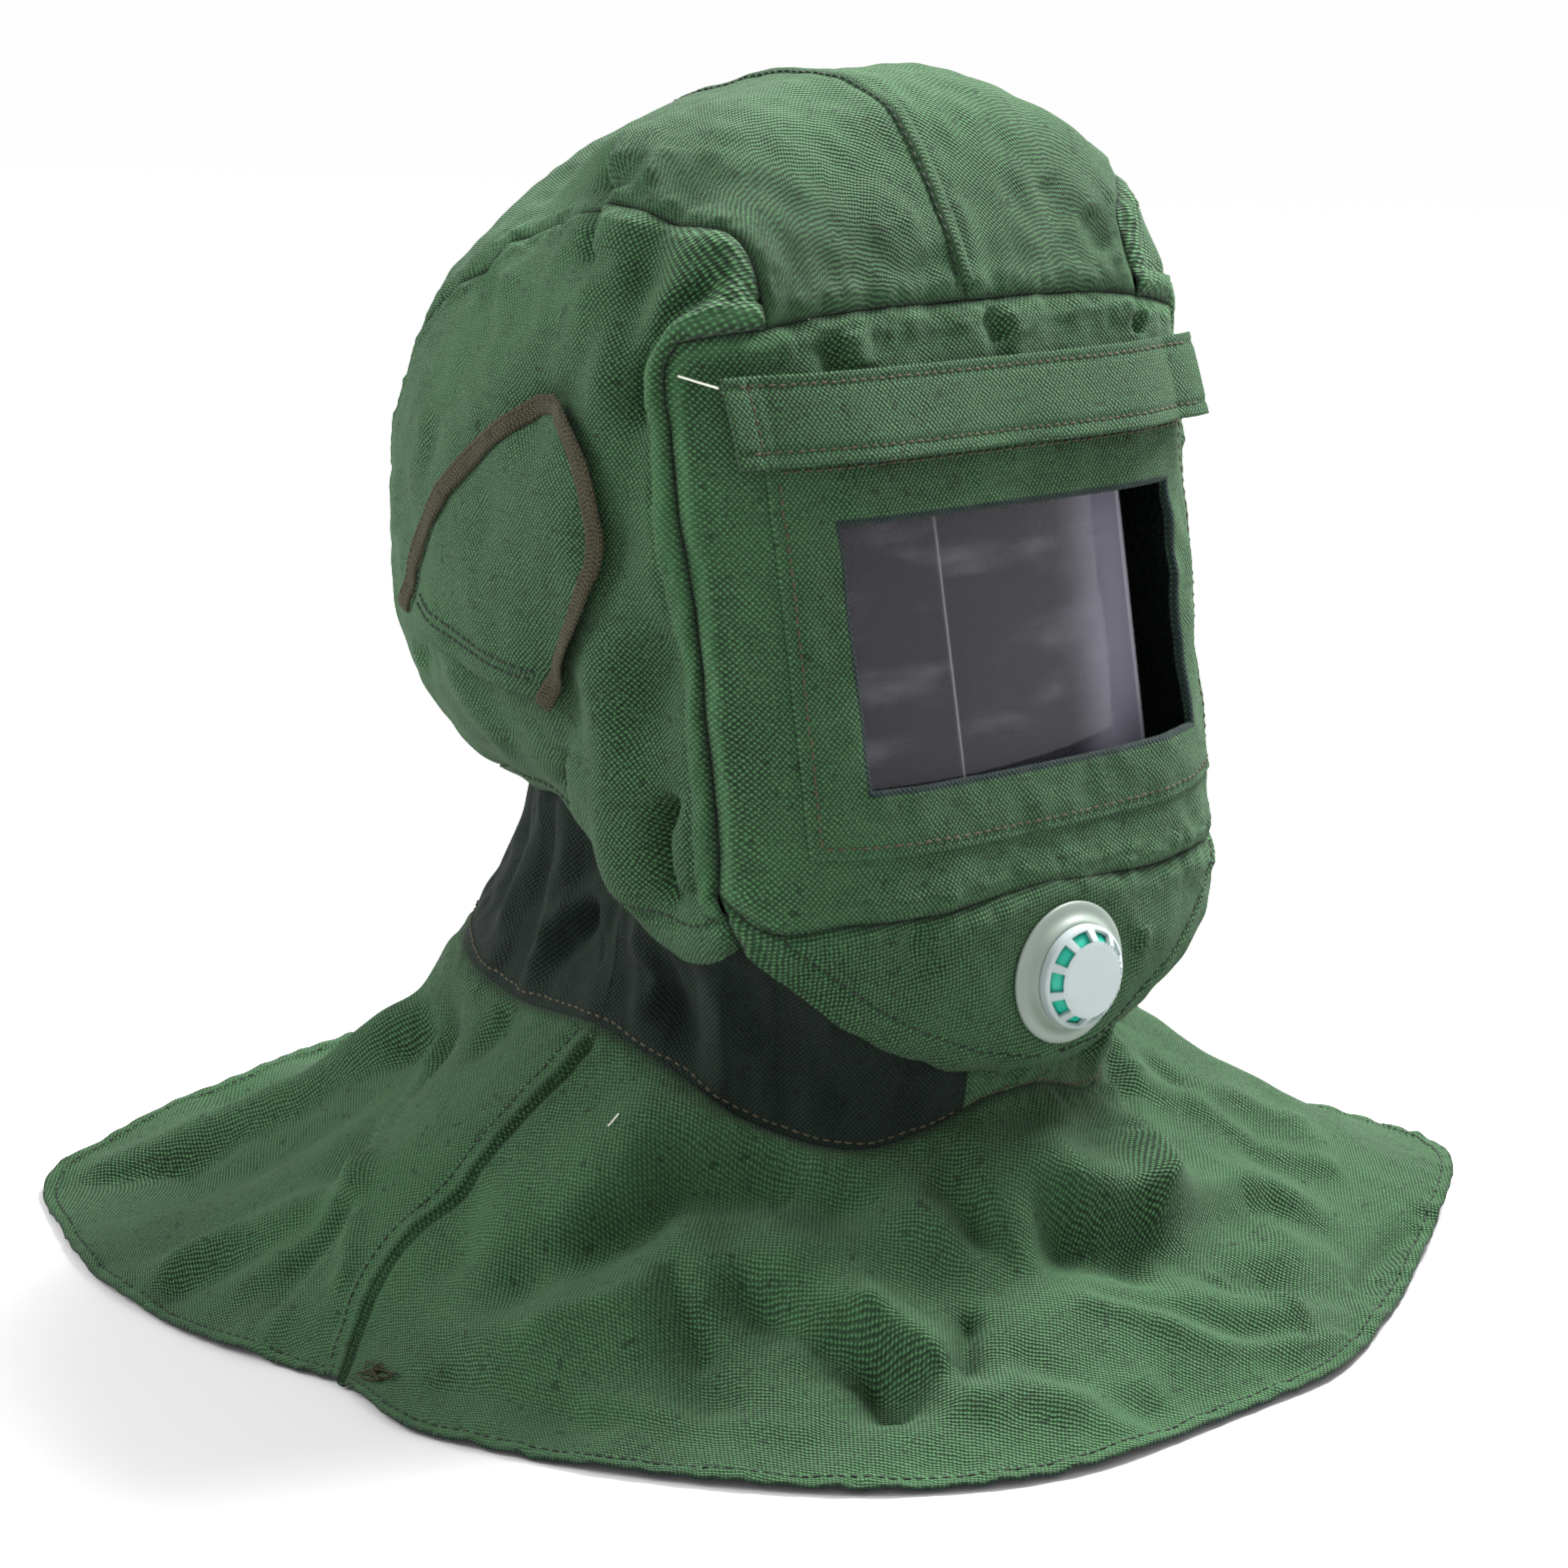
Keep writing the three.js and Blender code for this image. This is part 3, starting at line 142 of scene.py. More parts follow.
# Swells and folds that the solids have too: (out, reach, place) and (out, width, path).
SWELLS = [
    (7, 62, (0.3, -0.3, 0.95)),
    (8, 45, (0.85, -0.45, 0.6)),
    (-11, 55, (-0.55, 0.2, 0.86)),
    (-7, 60, (-0.3, 0.7, 0.65)),
    (-3, 70, (0.95, -0.7, -0.2)),
    (10, 50, (0.04, -0.9, -0.9)),
]
FOLDS = [
    (-7, 13, [(-0.62, 0.0, 0.86), (-0.81, -0.343, 0.797), (-0.86, -0.36, 0.7),
              (-0.925, -0.427, 0.6), (-0.967, -0.314, 0.458), (-0.99, -0.2, 0.36)]),
    (7, 14, [(-0.5, 0.16, 0.9), (-0.56, -0.02, 0.9), (-0.63, -0.2, 0.9)]),
    (4, 10, [(-0.85, -0.46, 0.74), (-0.93, -0.53, 0.6), (-0.95, -0.5, 0.45)]),
    (-5, 11, [(-0.8, -0.6, 0.76), (-0.9, -0.6, 0.66), (-0.94, -0.6, 0.5), (-0.95, -0.62, 0.3)]),
    (5, 14, [(-0.72, -0.78, 0.68), (-0.84, -0.76, 0.58)]),
    (-6, 16, [(-0.97, -0.6, 0.1), (-0.97, -0.6, -0.2), (-0.95, -0.62, -0.45), (-0.92, -0.56, -0.66)]),
    (-6, 15, [(-0.99, -0.3, -0.3), (-0.95, -0.2, -0.5), (-0.88, -0.16, -0.72)]),
    (4, 12, [(-0.98, -0.44, -0.25), (-0.95, -0.42, -0.5), (-0.9, -0.4, -0.68)]),
    (-4, 14, [(-0.63, -0.33, 0.92), (-0.7, -0.6, 0.82)]),
]
# Finer folds, for the dressed piece only: (out, width, path).
FINE_FOLDS = [
    (3.2, 8, [(-0.740, -0.340, 0.581), (-0.786, -0.325, 0.526), (-0.850, -0.292, 0.438),
        (-0.908, -0.175, 0.382)]),
    (2.2, 5, [(-0.533, -0.346, 0.772), (-0.582, -0.347, 0.736), (-0.627, -0.344, 0.699)]),
    (2.0, 5, [(-0.360, -0.810, 0.463), (-0.350, -0.831, 0.432), (-0.348, -0.847, 0.402)]),
    (-3.0, 9, [(-0.612, -0.556, 0.563), (-0.680, -0.497, 0.539), (-0.725, -0.473, 0.500),
        (-0.763, -0.465, 0.450), (-0.790, -0.484, 0.375), (-0.814, -0.523, 0.254)]),
    (3.0, 12, [(-0.933, -0.236, -0.270), (-0.901, -0.418, -0.112), (-0.850, -0.526, 0.013),
        (-0.806, -0.585, 0.090), (-0.799, -0.570, 0.191)]),
    (-3.0, 12, [(-0.869, -0.397, -0.295), (-0.835, -0.527, -0.159), (-0.785, -0.619, -0.021)]),
    (-2.2, 7, [(0.431, -0.679, 0.594), (0.442, -0.702, 0.558), (0.445, -0.729, 0.521)]),
    (-1.8, 7, [(0.328, -0.668, 0.668), (0.346, -0.706, 0.617), (0.370, -0.725, 0.581)]),
    (1.6, 8, [(-0.140, -0.744, 0.654), (-0.092, -0.809, 0.580)]),
    (-3.0, 5.5, [(-0.423, -0.788, 0.448), (-0.414, -0.808, 0.420), (-0.414, -0.824, 0.387)]),
    (-2.6, 4.5, [(0.043, -0.863, 0.503), (0.066, -0.876, 0.478), (0.084, -0.890, 0.448)]),
    (1.6, 5, [(0.120, -0.858, 0.499), (0.140, -0.883, 0.448)]),
    (-3.0, 3.5, [(0.520, -0.743, 0.423), (0.520, -0.761, 0.388)]),
    (-3.0, 4, [(0.245, -0.776, -0.581), (0.224, -0.760, -0.610), (0.213, -0.736, -0.643)]),
    (-2.2, 3, [(0.069, -0.859, -0.507), (0.056, -0.849, -0.526)]),
    (2.2, 3.5, [(0.094, -0.859, -0.503), (0.105, -0.842, -0.529)]),
    (2.2, 4, [(0.275, -0.773, -0.572), (0.254, -0.753, -0.607)]),
    (-2.0, 7, [(-0.390, -0.777, -0.495), (-0.351, -0.773, -0.528), (-0.323, -0.753, -0.573)]),
    (-1.8, 6, [(-0.573, -0.632, -0.522), (-0.531, -0.647, -0.547), (-0.472, -0.672, -0.571)]),
    (-2.0, 4, [(-0.820, 0.429, -0.379), (-0.899, 0.314, -0.304)]),
    (2.5, 9, [(-0.941, 0.209, -0.265), (-0.887, 0.163, -0.431), (-0.823, 0.052, -0.566)]),
    (-2.0, 6, [(-0.681, 0.417, 0.602), (-0.819, 0.183, 0.544), (-0.887, 0.104, 0.449)]),
    (1.8, 7, [(-0.661, 0.282, 0.696), (-0.815, 0.125, 0.566), (-0.876, 0.189, 0.443)]),
    (-1.6, 7, [(-0.468, -0.483, 0.740), (-0.542, -0.512, 0.666), (-0.557, -0.561, 0.612)]),
    (-1.6, 8, [(-0.924, 0.348, 0.160), (-0.918, 0.265, 0.295), (-0.909, 0.153, 0.387)]),
]
# Edges of folds: (height, half width of the edge, reach, dip beside it, path). The cloth
# stands up on one side of the path and dips on the other. All are made larger by FOLD_GAIN.
FOLD_GAIN = 1.35
STEPS = [
    (5.0, 2.2, 14, 4.0, [(-0.541, 0.055, 0.839), (-0.669, -0.177, 0.722)]),
    (4.0, 2.4, 15, 3.0, [(-0.680, -0.177, 0.712), (-0.712, -0.239, 0.660), (-0.739, -0.272, 0.616),
        (-0.769, -0.286, 0.572)]),
    (4.5, 2.4, 13, 4.5, [(-0.566, -0.639, 0.520), (-0.597, -0.641, 0.481), (-0.652, -0.608, 0.453),
        (-0.695, -0.580, 0.425), (-0.736, -0.554, 0.390), (-0.763, -0.555, 0.331),
        (-0.772, -0.566, 0.287)]),
    (3.5, 2.2, 16, 7.0, [(-0.882, -0.192, -0.430), (-0.854, -0.216, -0.472), (-0.788, -0.132, -0.601)]),
    (3.0, 2.6, 15, 7.0, [(-0.772, -0.544, -0.328), (-0.765, -0.526, -0.371), (-0.764, -0.498, -0.411),
        (-0.750, -0.480, -0.456), (-0.727, -0.474, -0.497), (-0.708, -0.487, -0.512)]),
]


def distance_to(path, p):
    best = np.full(p.shape[:-1], FAR)
    for a, b in zip(path[:-1], path[1:]):
        span = b - a
        t = np.clip(((p - a) @ span) / (span @ span), 0, 1)
        best = np.minimum(best, np.linalg.norm(p - a - t[..., None] * span, axis=-1))
    return best


def ripple(p, size, seed):
    """Smooth random unevenness of about that size in millimetres, near 1 at its most usual height."""
    waves = 22
    r = np.random.default_rng(seed)
    total = np.zeros(p.shape[:-1])
    for _ in range(waves):
        way = unit(r.normal(size=3)) * 2 * np.pi / (size * r.uniform(0.7, 1.6))
        total += np.sin(p @ way + r.uniform(0, 2 * np.pi))
    return total * (2 / waves) ** 0.5


def beside_path(path, p, normals):
    """Signed distance to a path on a surface, and a weight that fades at both its ends."""
    best = np.full(p.shape[:-1], FAR)
    signed = np.zeros(p.shape[:-1])
    along = np.zeros(p.shape[:-1])
    start = 0.0
    for a, b, n in zip(path[:-1], path[1:], normals[:-1]):
        span = b - a
        length = np.linalg.norm(span)
        t = np.clip(((p - a) @ span) / (span @ span), 0, 1)
        gap = p - a - t[..., None] * span
        far = np.linalg.norm(gap, axis=-1)
        near = far < best
        best = np.where(near, far, best)
        side = np.cross(n, span / length)
        signed = np.where(near, np.where(gap @ side < 0, -far, far), signed)
        along = np.where(near, start + t * length, along)
        start += length
    fade = smooth(0, 0.22 * start, along) * (1 - smooth(0.78 * start, start, along))
    return signed, fade


def step_shape(s, height, edge, reach, dip):
    up = height * smooth(-edge, edge, s) * (1 - smooth(0.25 * reach, 1.3 * reach, s))
    return up - dip * np.exp(-(((s + 1.7 * edge) / (1.7 * edge)) ** 2))


def relief(p, fine=False):
    out = np.zeros(p.shape[:-1])
    for amount, reach, where in SWELLS:
        c = at(where)
        out += amount * np.exp(-((np.linalg.norm(p - c, axis=-1) / reach) ** 2))
    for amount, width, path in FOLDS:
        out += amount * np.exp(-((distance_to(at(path), p) / width) ** 2))
    if not fine:
        return out
    for amount, width, path in FINE_FOLDS:
        rows = unit(line_through(unit(np.array(path, float)), 12))
        s, fade = beside_path(plain(rows), p, plain_normal(rows))
        out += FOLD_GAIN * amount * fade * np.exp(-((s / width) ** 2))
    for height, edge, reach, dip, path in STEPS:
        rows = unit(line_through(unit(np.array(path, float)), 14))
        s, fade = beside_path(plain(rows), p, plain_normal(rows))
        out += FOLD_GAIN * fade * step_shape(s, height, edge, reach, dip)
    return out


def seat_valve(p):
    away = np.hypot(p[..., 0] - VALVE_X, p[..., 2] - VALVE_Z)
    flat = 1 - smooth(VALVE_FLANGE_RADIUS, VALVE_FLANGE_RADIUS * 1.7, away)
    flat = np.where(p[..., 1] > -80, 0, flat)
    q = p.copy()
    q[..., 1] = mix(p[..., 1], VALVE_SEAT, flat)
    return q


# Smooth lines through places.
def line_through(points, count):
    pts = np.array(points, float)
    n = len(pts)
    out = []
    for t in np.linspace(0, 1, count + 1):
        s = (n - 1) * t
        i = min(int(s), n - 2)
        w = s - i
        p1, p2 = pts[i], pts[i + 1]
        p0 = pts[i - 1] if i > 0 else 2 * pts[0] - pts[1]
        p3 = pts[i + 2] if i + 2 < n else 2 * pts[-1] - pts[-2]
        d0, d1, d2 = (max(np.linalg.norm(b - a) ** 0.5, 1e-6) for a, b in ((p0, p1), (p1, p2), (p2, p3)))
        m1 = ((p1 - p0) / d0 - (p2 - p0) / (d0 + d1) + (p2 - p1) / d1) * d1
        m2 = ((p2 - p1) / d1 - (p3 - p1) / (d1 + d2) + (p3 - p2) / d2) * d1
        c2 = -3 * p1 + 3 * p2 - 2 * m1 - m2
        c3 = 2 * p1 - 2 * p2 + m1 + m2
        out.append(p1 + m1 * w + c2 * w * w + c3 * w ** 3)
    return np.array(out)


def respace(points, steps, measure=None):
    m = points if measure is None else measure
    reach = np.concatenate([[0], np.cumsum(np.linalg.norm(np.diff(m, axis=0), axis=1))])
    want = np.linspace(0, reach[-1], steps + 1)
    return np.stack([np.interp(want, reach, points[:, k]) for k in range(points.shape[1])], 1)


def seam(rows, steps):
    dense = unit(line_through(unit(np.array(rows, float)), 400))
    return unit(respace(dense, steps, plain(dense)))


FACE_TOP_CORNER = (-0.851, -0.766, 0.52)
CROWN_FRONT = (-0.652, -0.898, 0.553)
CENTRE_FRONT = (0, -0.95, 0.582)
FACE_BOTTOM = (-0.9, -0.75, -0.6)
JAW = (-0.86, -0.78, -0.7)
CHIN_RIM = (0, -0.84, -0.97)
NAPE = (0, 0.6, -0.88)
NAPE_SIDE = (-0.42, 0.5, -0.9)
F = FINE
S = {
    "crownSide": seam([CROWN_FRONT, (-0.647, -0.859, 0.646), (-0.667, -0.809, 0.715),
                       (-0.727, -0.727, 0.752), (-0.788, -0.562, 0.79), (-0.806, -0.343, 0.8),
                       (-0.775, -0.02, 0.775), (-0.77, 0.15, 0.742), (-0.785, 0.3, 0.67),
                       (-0.74, 0.62, 0.4), (-0.66, 0.78, 0.1), (-0.6, 0.8, -0.3), NAPE_SIDE],
                      (TOP_STEPS + FRONT_STEPS) * F),
    "crownCentre": seam([CENTRE_FRONT, (0, -0.86, 0.75), (0, -0.5, 0.93), (0, 0, 1), (0, 0.5, 0.87),
                         (0, 0.87, 0.5), (0, 1, 0), (0, 0.88, -0.5), NAPE],
                        (TOP_STEPS + FRONT_STEPS) * F),
    "faceCorner": seam([CROWN_FRONT, (-0.77, -0.84, 0.54), FACE_TOP_CORNER], CORNER_STEPS * F),
    "faceTop": seam([CROWN_FRONT, (-0.39, -0.945, 0.58), CENTRE_FRONT], CROWN_ROWS * F),
    "faceSide": seam([FACE_TOP_CORNER, (-0.88, -0.738, 0.476), (-0.898, -0.74, 0.378),
                      (-0.906, -0.747, 0.26), (-0.899, -0.768, 0.02), (-0.898, -0.767, -0.262),
                      (-0.892, -0.763, -0.462), FACE_BOTTOM], FACE_STEPS * F),
    "jaw": seam([FACE_BOTTOM, JAW], JAW_STEPS * F),
    "chinTop": seam([FACE_BOTTOM, (-0.82, -0.83, -0.645), (-0.648, -0.94, -0.618),
                     (-0.368, -0.986, -0.606), (0, -0.993, -0.58)], CHIN_STEPS * F),
    "chinRim": seam([JAW, (-0.72, -0.87, -0.8), (-0.53, -0.88, -0.88), (-0.24, -0.85, -0.95),
                     CHIN_RIM], CHIN_STEPS * F),
    "sideRim": seam([JAW, (-0.85, -0.62, -0.76), (-0.84, -0.38, -0.82), (-0.82, -0.1, -0.84),
                     (-0.75, 0.2, -0.84), (-0.6, 0.4, -0.88), NAPE_SIDE], TOP_STEPS * F),
    "backRim": seam([NAPE_SIDE, (-0.2, 0.58, -0.9), NAPE], CROWN_ROWS * F),
}
MIRROR = np.array([-1.0, 1.0, 1.0])


def whole(name):
    a = S[name]
    return np.concatenate([a, (a * MIRROR)[::-1][1:]])


def between(near, far, left, right):
    u = np.linspace(0, 1, len(near))[None, :, None]
    v = np.linspace(0, 1, len(left))[:, None, None]
    d = near[None] * (1 - v) + far[None] * v + left[:, None] * (1 - u) + right[:, None] * u
    d = d - near[0] * (1 - u) * (1 - v) - near[-1] * u * (1 - v)
    d = d - far[0] * (1 - u) * v - far[-1] * u * v
    return unit(d)


# Distance to seams, measured on the plain surface.
def seam_tree(*lines):
    pts = np.concatenate([plain(line) for line in lines])
    tree = kdtree.KDTree(len(pts))
    for i, p in enumerate(pts):
        tree.insert(p, i)
    tree.balance()
    return tree


def away_from(tree, p):
    flat = p.reshape(-1, 3)
    return np.array([tree.find(q)[2] for q in flat]).reshape(p.shape[:-1])


PANEL_SEAMS = seam_tree(S["crownSide"], S["crownSide"] * MIRROR, S["faceCorner"], S["faceCorner"] * MIRROR,
                        whole("faceTop"), S["faceSide"], S["faceSide"] * MIRROR, whole("chinTop"),
                        S["jaw"], S["jaw"] * MIRROR)
CENTRE_SEAM = seam_tree(S["crownCentre"])
FACE_SIDE_SEAM = seam_tree(S["faceSide"], S["faceCorner"], S["faceSide"] * MIRROR, S["faceCorner"] * MIRROR)
RIM = seam_tree(whole("chinRim"), S["sideRim"], S["sideRim"] * MIRROR, whole("backRim"))


def groove(away, depth=1.7, width=1.9, puff=0.9, reach=6.5):
    return -depth * np.exp(-((away / width) ** 2)) + puff * np.exp(-(((away - reach) / (reach * 0.55)) ** 2))


def hood(d, beads=False, centre=False):
    """Outside of the hood, dressed: point and plain normal."""
    p = plain(d)
    n = plain_normal(d)
    seams = away_from(PANEL_SEAMS, p)
    out = relief(p, True) + groove(seams)
    out += 0.5 * ripple(p, 34, 3) + 0.22 * ripple(p, 13, 4)
    out += 0.4 * ripple(p, 6.5, 5) * np.exp(-(((seams - 4) / 7) ** 2)) * smooth(0.5, 3, seams)
    if centre:
        out += groove(away_from(CENTRE_SEAM, p), 0.6, 1.6, 0.6)
    if beads:
        away = away_from(FACE_SIDE_SEAM, p)
        out += 1.9 * np.sqrt(np.clip(1 - ((away - 4.4) / 4.2) ** 2, 0, 1))
        out -= 1.1 * np.exp(-(((away - 9.3) / 1.2) ** 2))
    rim = away_from(RIM, p)
    out += 0.7 * (1 - smooth(9.0, 10.5, rim)) - 0.5 * np.exp(-(((rim - 10.8) / 0.8) ** 2))
    return seat_valve(p + n * out[..., None]), n


def hood_cad(d):
    p = plain(d)
    n = plain_normal(d)
    return seat_valve(p + n * relief(p)[..., None]), n


# Mesh making.
def grid_quads(rows, cols, wrap=False):
    j, i = np.meshgrid(np.arange(rows - 1), np.arange(cols if wrap else cols - 1), indexing="ij")
    k = (i + 1) % cols
    return np.stack([j * cols + i, j * cols + k, (j + 1) * cols + k, (j + 1) * cols + i], -1).reshape(-1, 4)


def make_mesh(name, verts, quads, material, uv=None, tints=None):
    mesh = bpy.data.meshes.new(name)
    quads = np.asarray(quads, np.int32)
    mesh.vertices.add(len(verts))
    mesh.vertices.foreach_set("co", np.asarray(verts, np.float32).ravel())
    mesh.loops.add(quads.size)
    mesh.loops.foreach_set("vertex_index", quads.ravel())
    mesh.polygons.add(len(quads))
    mesh.polygons.foreach_set("loop_start", np.arange(len(quads), dtype=np.int32) * quads.shape[1])
    mesh.polygons.foreach_set("use_smooth", np.ones(len(quads), dtype=bool))
    mesh.update(calc_edges=True)
    if uv is not None:
        layer = mesh.uv_layers.new(name="cloth")
        layer.data.foreach_set("uv", np.asarray(uv, np.float32)[quads.ravel()].ravel())
    for key, value in (tints or {}).items():
        attr = mesh.attributes.new(key, "FLOAT", "POINT")
        attr.data.foreach_set("value", np.asarray(value, np.float32))
    mesh.validate()
    obj = bpy.data.objects.new(name, mesh)
    obj.data.materials.append(material)
    bpy.context.collection.objects.link(obj)
    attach(obj, "root")
    return obj


def weld(obj, near):
    """Join the vertices that fall together and turn every face outwards."""
    bm = bmesh.new()
    bm.from_mesh(obj.data)
    bmesh.ops.remove_doubles(bm, verts=bm.verts, dist=near)
    bmesh.ops.recalc_face_normals(bm, faces=bm.faces)
    bm.to_mesh(obj.data)
    bm.free()


THREAD_SIDES = 6


def thread_ends(first, last):
    """The quads that close a thread, from its first and its last ring."""
    return [(first + 3, first + 2, first + 1, first), (first + 5, first + 4, first + 3, first),
            (last, last + 1, last + 2, last + 3), (last, last + 3, last + 4, last + 5)]


def true_normals(grid, wrap=False):
    if wrap:
        across = np.roll(grid, -1, 1) - np.roll(grid, 1, 1)
    else:
        across = np.gradient(grid, axis=1)
    return unit(np.cross(across, np.gradient(grid, axis=0)))


def cloth(name, grid, guide, uv, material, wrap=False, wall=1.3, tints=None, inset=0.12,
          painted_shade_rows=None):
    """A sheet with thickness: grid of outside points, guide normals that point out."""
    rows, cols = grid.shape[:2]
    n = true_normals(grid, wrap)
    if (n * guide).sum() < 0:
        n = -n
        flip = True
    else:
        flip = False
    g = grid.copy()
    # Edges stand back a little, so that neighbours never share a face.
    g[0] += unit(g[1] - g[0]) * inset
    g[-1] += unit(g[-2] - g[-1]) * inset
    if not wrap:
        g[:, 0] += unit(g[:, 1] - g[:, 0]) * inset
        g[:, -1] += unit(g[:, -2] - g[:, -1]) * inset
    inner = g - n * wall
    quads = grid_quads(rows, cols, wrap)
    total = rows * cols
    if flip:
        quads = quads[:, ::-1]
    under = quads[:, ::-1] + total
    edges = []
    top = np.arange(cols)
    loops = [(top, False), ((rows - 1) * cols + top, True)]
    if not wrap:
        side = np.arange(rows) * cols
        loops += [(side, True), (side + cols - 1, False)]
    for line, back in loops:
        nxt = np.roll(line, -1) if wrap and len(line) == cols else line[1:]
        cur = line if wrap and len(line) == cols else line[:-1]
        quad = np.stack([nxt, cur, cur + total, nxt + total], -1)
        edges.append(quad[:, ::-1] if back != flip else quad)
    verts = place(np.concatenate([g.reshape(-1, 3), inner.reshape(-1, 3)]))
    uv2 = np.concatenate([uv.reshape(-1, 2)] * 2)
    both = {k: np.concatenate([np.ravel(v)] * 2) for k, v in (tints or {}).items()}
    # Inside faces, and outside rows given as a turned edge, are marked for the painted shade of the inside.
    facing_in = np.zeros(g.shape[:2]) if painted_shade_rows is None else np.broadcast_to(painted_shade_rows, g.shape[:2])
    both["inner"] = np.concatenate([np.ravel(facing_in), np.ones(total)])
    return make_mesh(name, verts, np.concatenate([quads, under] + edges), material, uv2, both)


def run_along(grid, axis=0):
    """Length run from the grid's first row (or column) to each point."""
    steps = np.cumsum(np.linalg.norm(np.diff(grid, axis=axis), axis=-1), axis)
    first = np.zeros_like(steps[:1] if axis == 0 else steps[:, :1])
    return np.concatenate([first, steps], axis)


# Materials.
def rgb(r, g, b):
    def lin(c):
        c /= 255
        return c / 12.92 if c <= 0.04045 else ((c + 0.055) / 1.055) ** 2.4
    return (lin(r), lin(g), lin(b), 1.0)


class Shader:
    """A material's nodes. Each method adds one node and returns its output."""

    def __init__(self, name):
        self.material = bpy.data.materials.new(name)
        self.material.use_nodes = True
        self.nodes = self.material.node_tree.nodes
        self.nodes.clear()
        out = self.add("OutputMaterial")
        self.bsdf = self.add("BsdfPrincipled")
        self.link(self.bsdf.outputs[0], out.inputs[0])

    def add(self, kind):
        return self.nodes.new("ShaderNode" + kind)

    def link(self, source, socket):
        self.material.node_tree.links.new(source, socket)

    def feed(self, value, socket):
        if isinstance(value, (int, float, tuple)):
            socket.default_value = value
        else:
            self.link(value, socket)

    def surface(self, **values):
        """Inputs of the surface, named with _ for a space."""
        for key, value in values.items():
            self.feed(value, self.bsdf.inputs[key.replace("_", " ")])

    def cloth_uv(self):
        uv = self.add("UVMap")
        uv.uv_map = "cloth"
        split = self.add("SeparateXYZ")
        self.link(uv.outputs[0], split.inputs[0])
        return uv.outputs[0], split.outputs

    def inside(self):
        return self.add("TexCoord").outputs["Object"]

    def tint(self, name):
        n = self.add("Attribute")
        n.attribute_name = name
        return n.outputs["Fac"]

    def scaled(self, vector, scale):
        n = self.add("Mapping")
        n.inputs["Scale"].default_value = scale
        self.link(vector, n.inputs[0])
        return n.outputs[0]

    def maths(self, op, a, b=None):
        n = self.add("Math")
        n.operation = op
        for i, v in enumerate((a, b)):
            if v is not None:
                self.feed(v, n.inputs[i])
        return n.outputs[0]

    def mixed(self, fac, a, b):
        n = self.add("Mix")
        n.data_type = "RGBA"
        for socket, v in ((n.inputs[0], fac), (n.inputs[6], a), (n.inputs[7], b)):
            self.feed(v, socket)
        return n.outputs[2]

    def ramp(self, value, low, high, to_low=0.0, to_high=1.0):
        n = self.add("MapRange")
        n.interpolation_type = "SMOOTHSTEP"
        for i, v in enumerate((value, low, high, to_low, to_high)):
            self.feed(v, n.inputs[i])
        return n.outputs[0]

    def noise(self, vector, scale, detail=3.0, rough=0.55):
        n = self.add("TexNoise")
        n.inputs["Scale"].default_value = scale
        n.inputs["Detail"].default_value = detail
        n.inputs["Roughness"].default_value = rough
        self.link(vector, n.inputs["Vector"])
        return n.outputs[0]

    def bump(self, height, strength, distance):
        n = self.add("Bump")
        n.inputs["Strength"].default_value = strength
        n.inputs["Distance"].default_value = distance
        self.link(height, n.inputs["Height"])
        return n.outputs[0]


def canvas_material(name, deep, mid, light, worn, pitch=(0.86, 1.0), bump=0.95, sheen=0.08, painted_inside_shade=None,
                    herringbone=False):
    """Plain-weave canvas: threads over and under, slubs, faded and darker patches, and painted shade, both
    where a part marks it and on the inside.
    """
    sh = Shader(name)
    uv, axes = sh.cloth_uv()
    inside = sh.inside()
    wobble = sh.noise(uv, 90.0, 3.0)
    shift = sh.maths("MULTIPLY", sh.maths("SUBTRACT", wobble, 0.5), 0.0024)
    waves = []
    for axis, size in enumerate(pitch):
        moved = sh.maths("ADD", axes[axis], shift)
        if herringbone and axis == 0:
            moved = sh.maths("ADD", moved, sh.maths("PINGPONG", axes[1], 0.0022))
        waves.append(sh.maths("SINE", sh.maths("MULTIPLY", moved, math.pi * 1000 / size)))
    cross = sh.maths("MULTIPLY", waves[0], waves[1])
    dots = sh.ramp(cross, -0.35, 0.7)
    thread = sh.noise(uv, 900.0, 2.0, 0.6)
    slub = sh.noise(sh.scaled(uv, (70, 420, 1)), 1.0, 2.0)
    patch = sh.noise(inside, 9.0, 4.0, 0.6)
    fleck = sh.noise(inside, 260.0, 1.0, 0.5)

    base = sh.mixed(dots, deep, mid)
    base = sh.mixed(sh.maths("MULTIPLY", sh.ramp(cross, 0.3, 0.95), 0.68), base, light)
    # Each layer: (where it shows, from, to, its strength, its colour). The last layer is painted shade,
    # darker in seams, grooves and round the necklines.
    for where, low, high, most, colour in ((thread, 0.45, 0.75, 0.3, light), (slub, 0.56, 0.72, 0.4, deep),
                                           (patch, 0.42, 0.68, 0.25, worn), (fleck, 0.66, 0.74, 0.6, deep),
                                           (sh.tint("wear"), 0.0, 1.0, 0.7, worn),
                                           (sh.tint("painted_shade"), 0.0, 1.0, 0.75, deep)):
        base = sh.mixed(sh.ramp(where, low, high, 0.0, most), base, colour)
    # Painted shade of the inside: inner faces, and rows marked as a turned edge, take a dark blue-green in
    # place of the canvas.
    if painted_inside_shade is not None:
        dark = sh.mixed(dots, tuple(c * 0.55 for c in painted_inside_shade[:3]) + (1.0,), painted_inside_shade)
        base = sh.mixed(sh.ramp(sh.tint("inner"), 0.3, 0.7), base, dark)
    height = sh.maths("ADD", cross, sh.maths("MULTIPLY", thread, 0.6))
    sh.surface(Base_Color=base, Roughness=sh.ramp(thread, 0.2, 0.8, 0.86, 0.98), Specular_IOR_Level=0.25,
               Sheen_Weight=sheen, Sheen_Roughness=0.5, Sheen_Tint=(0.6, 0.75, 0.6, 1),
               Normal=sh.bump(height, bump, 0.0004))
    return sh.material


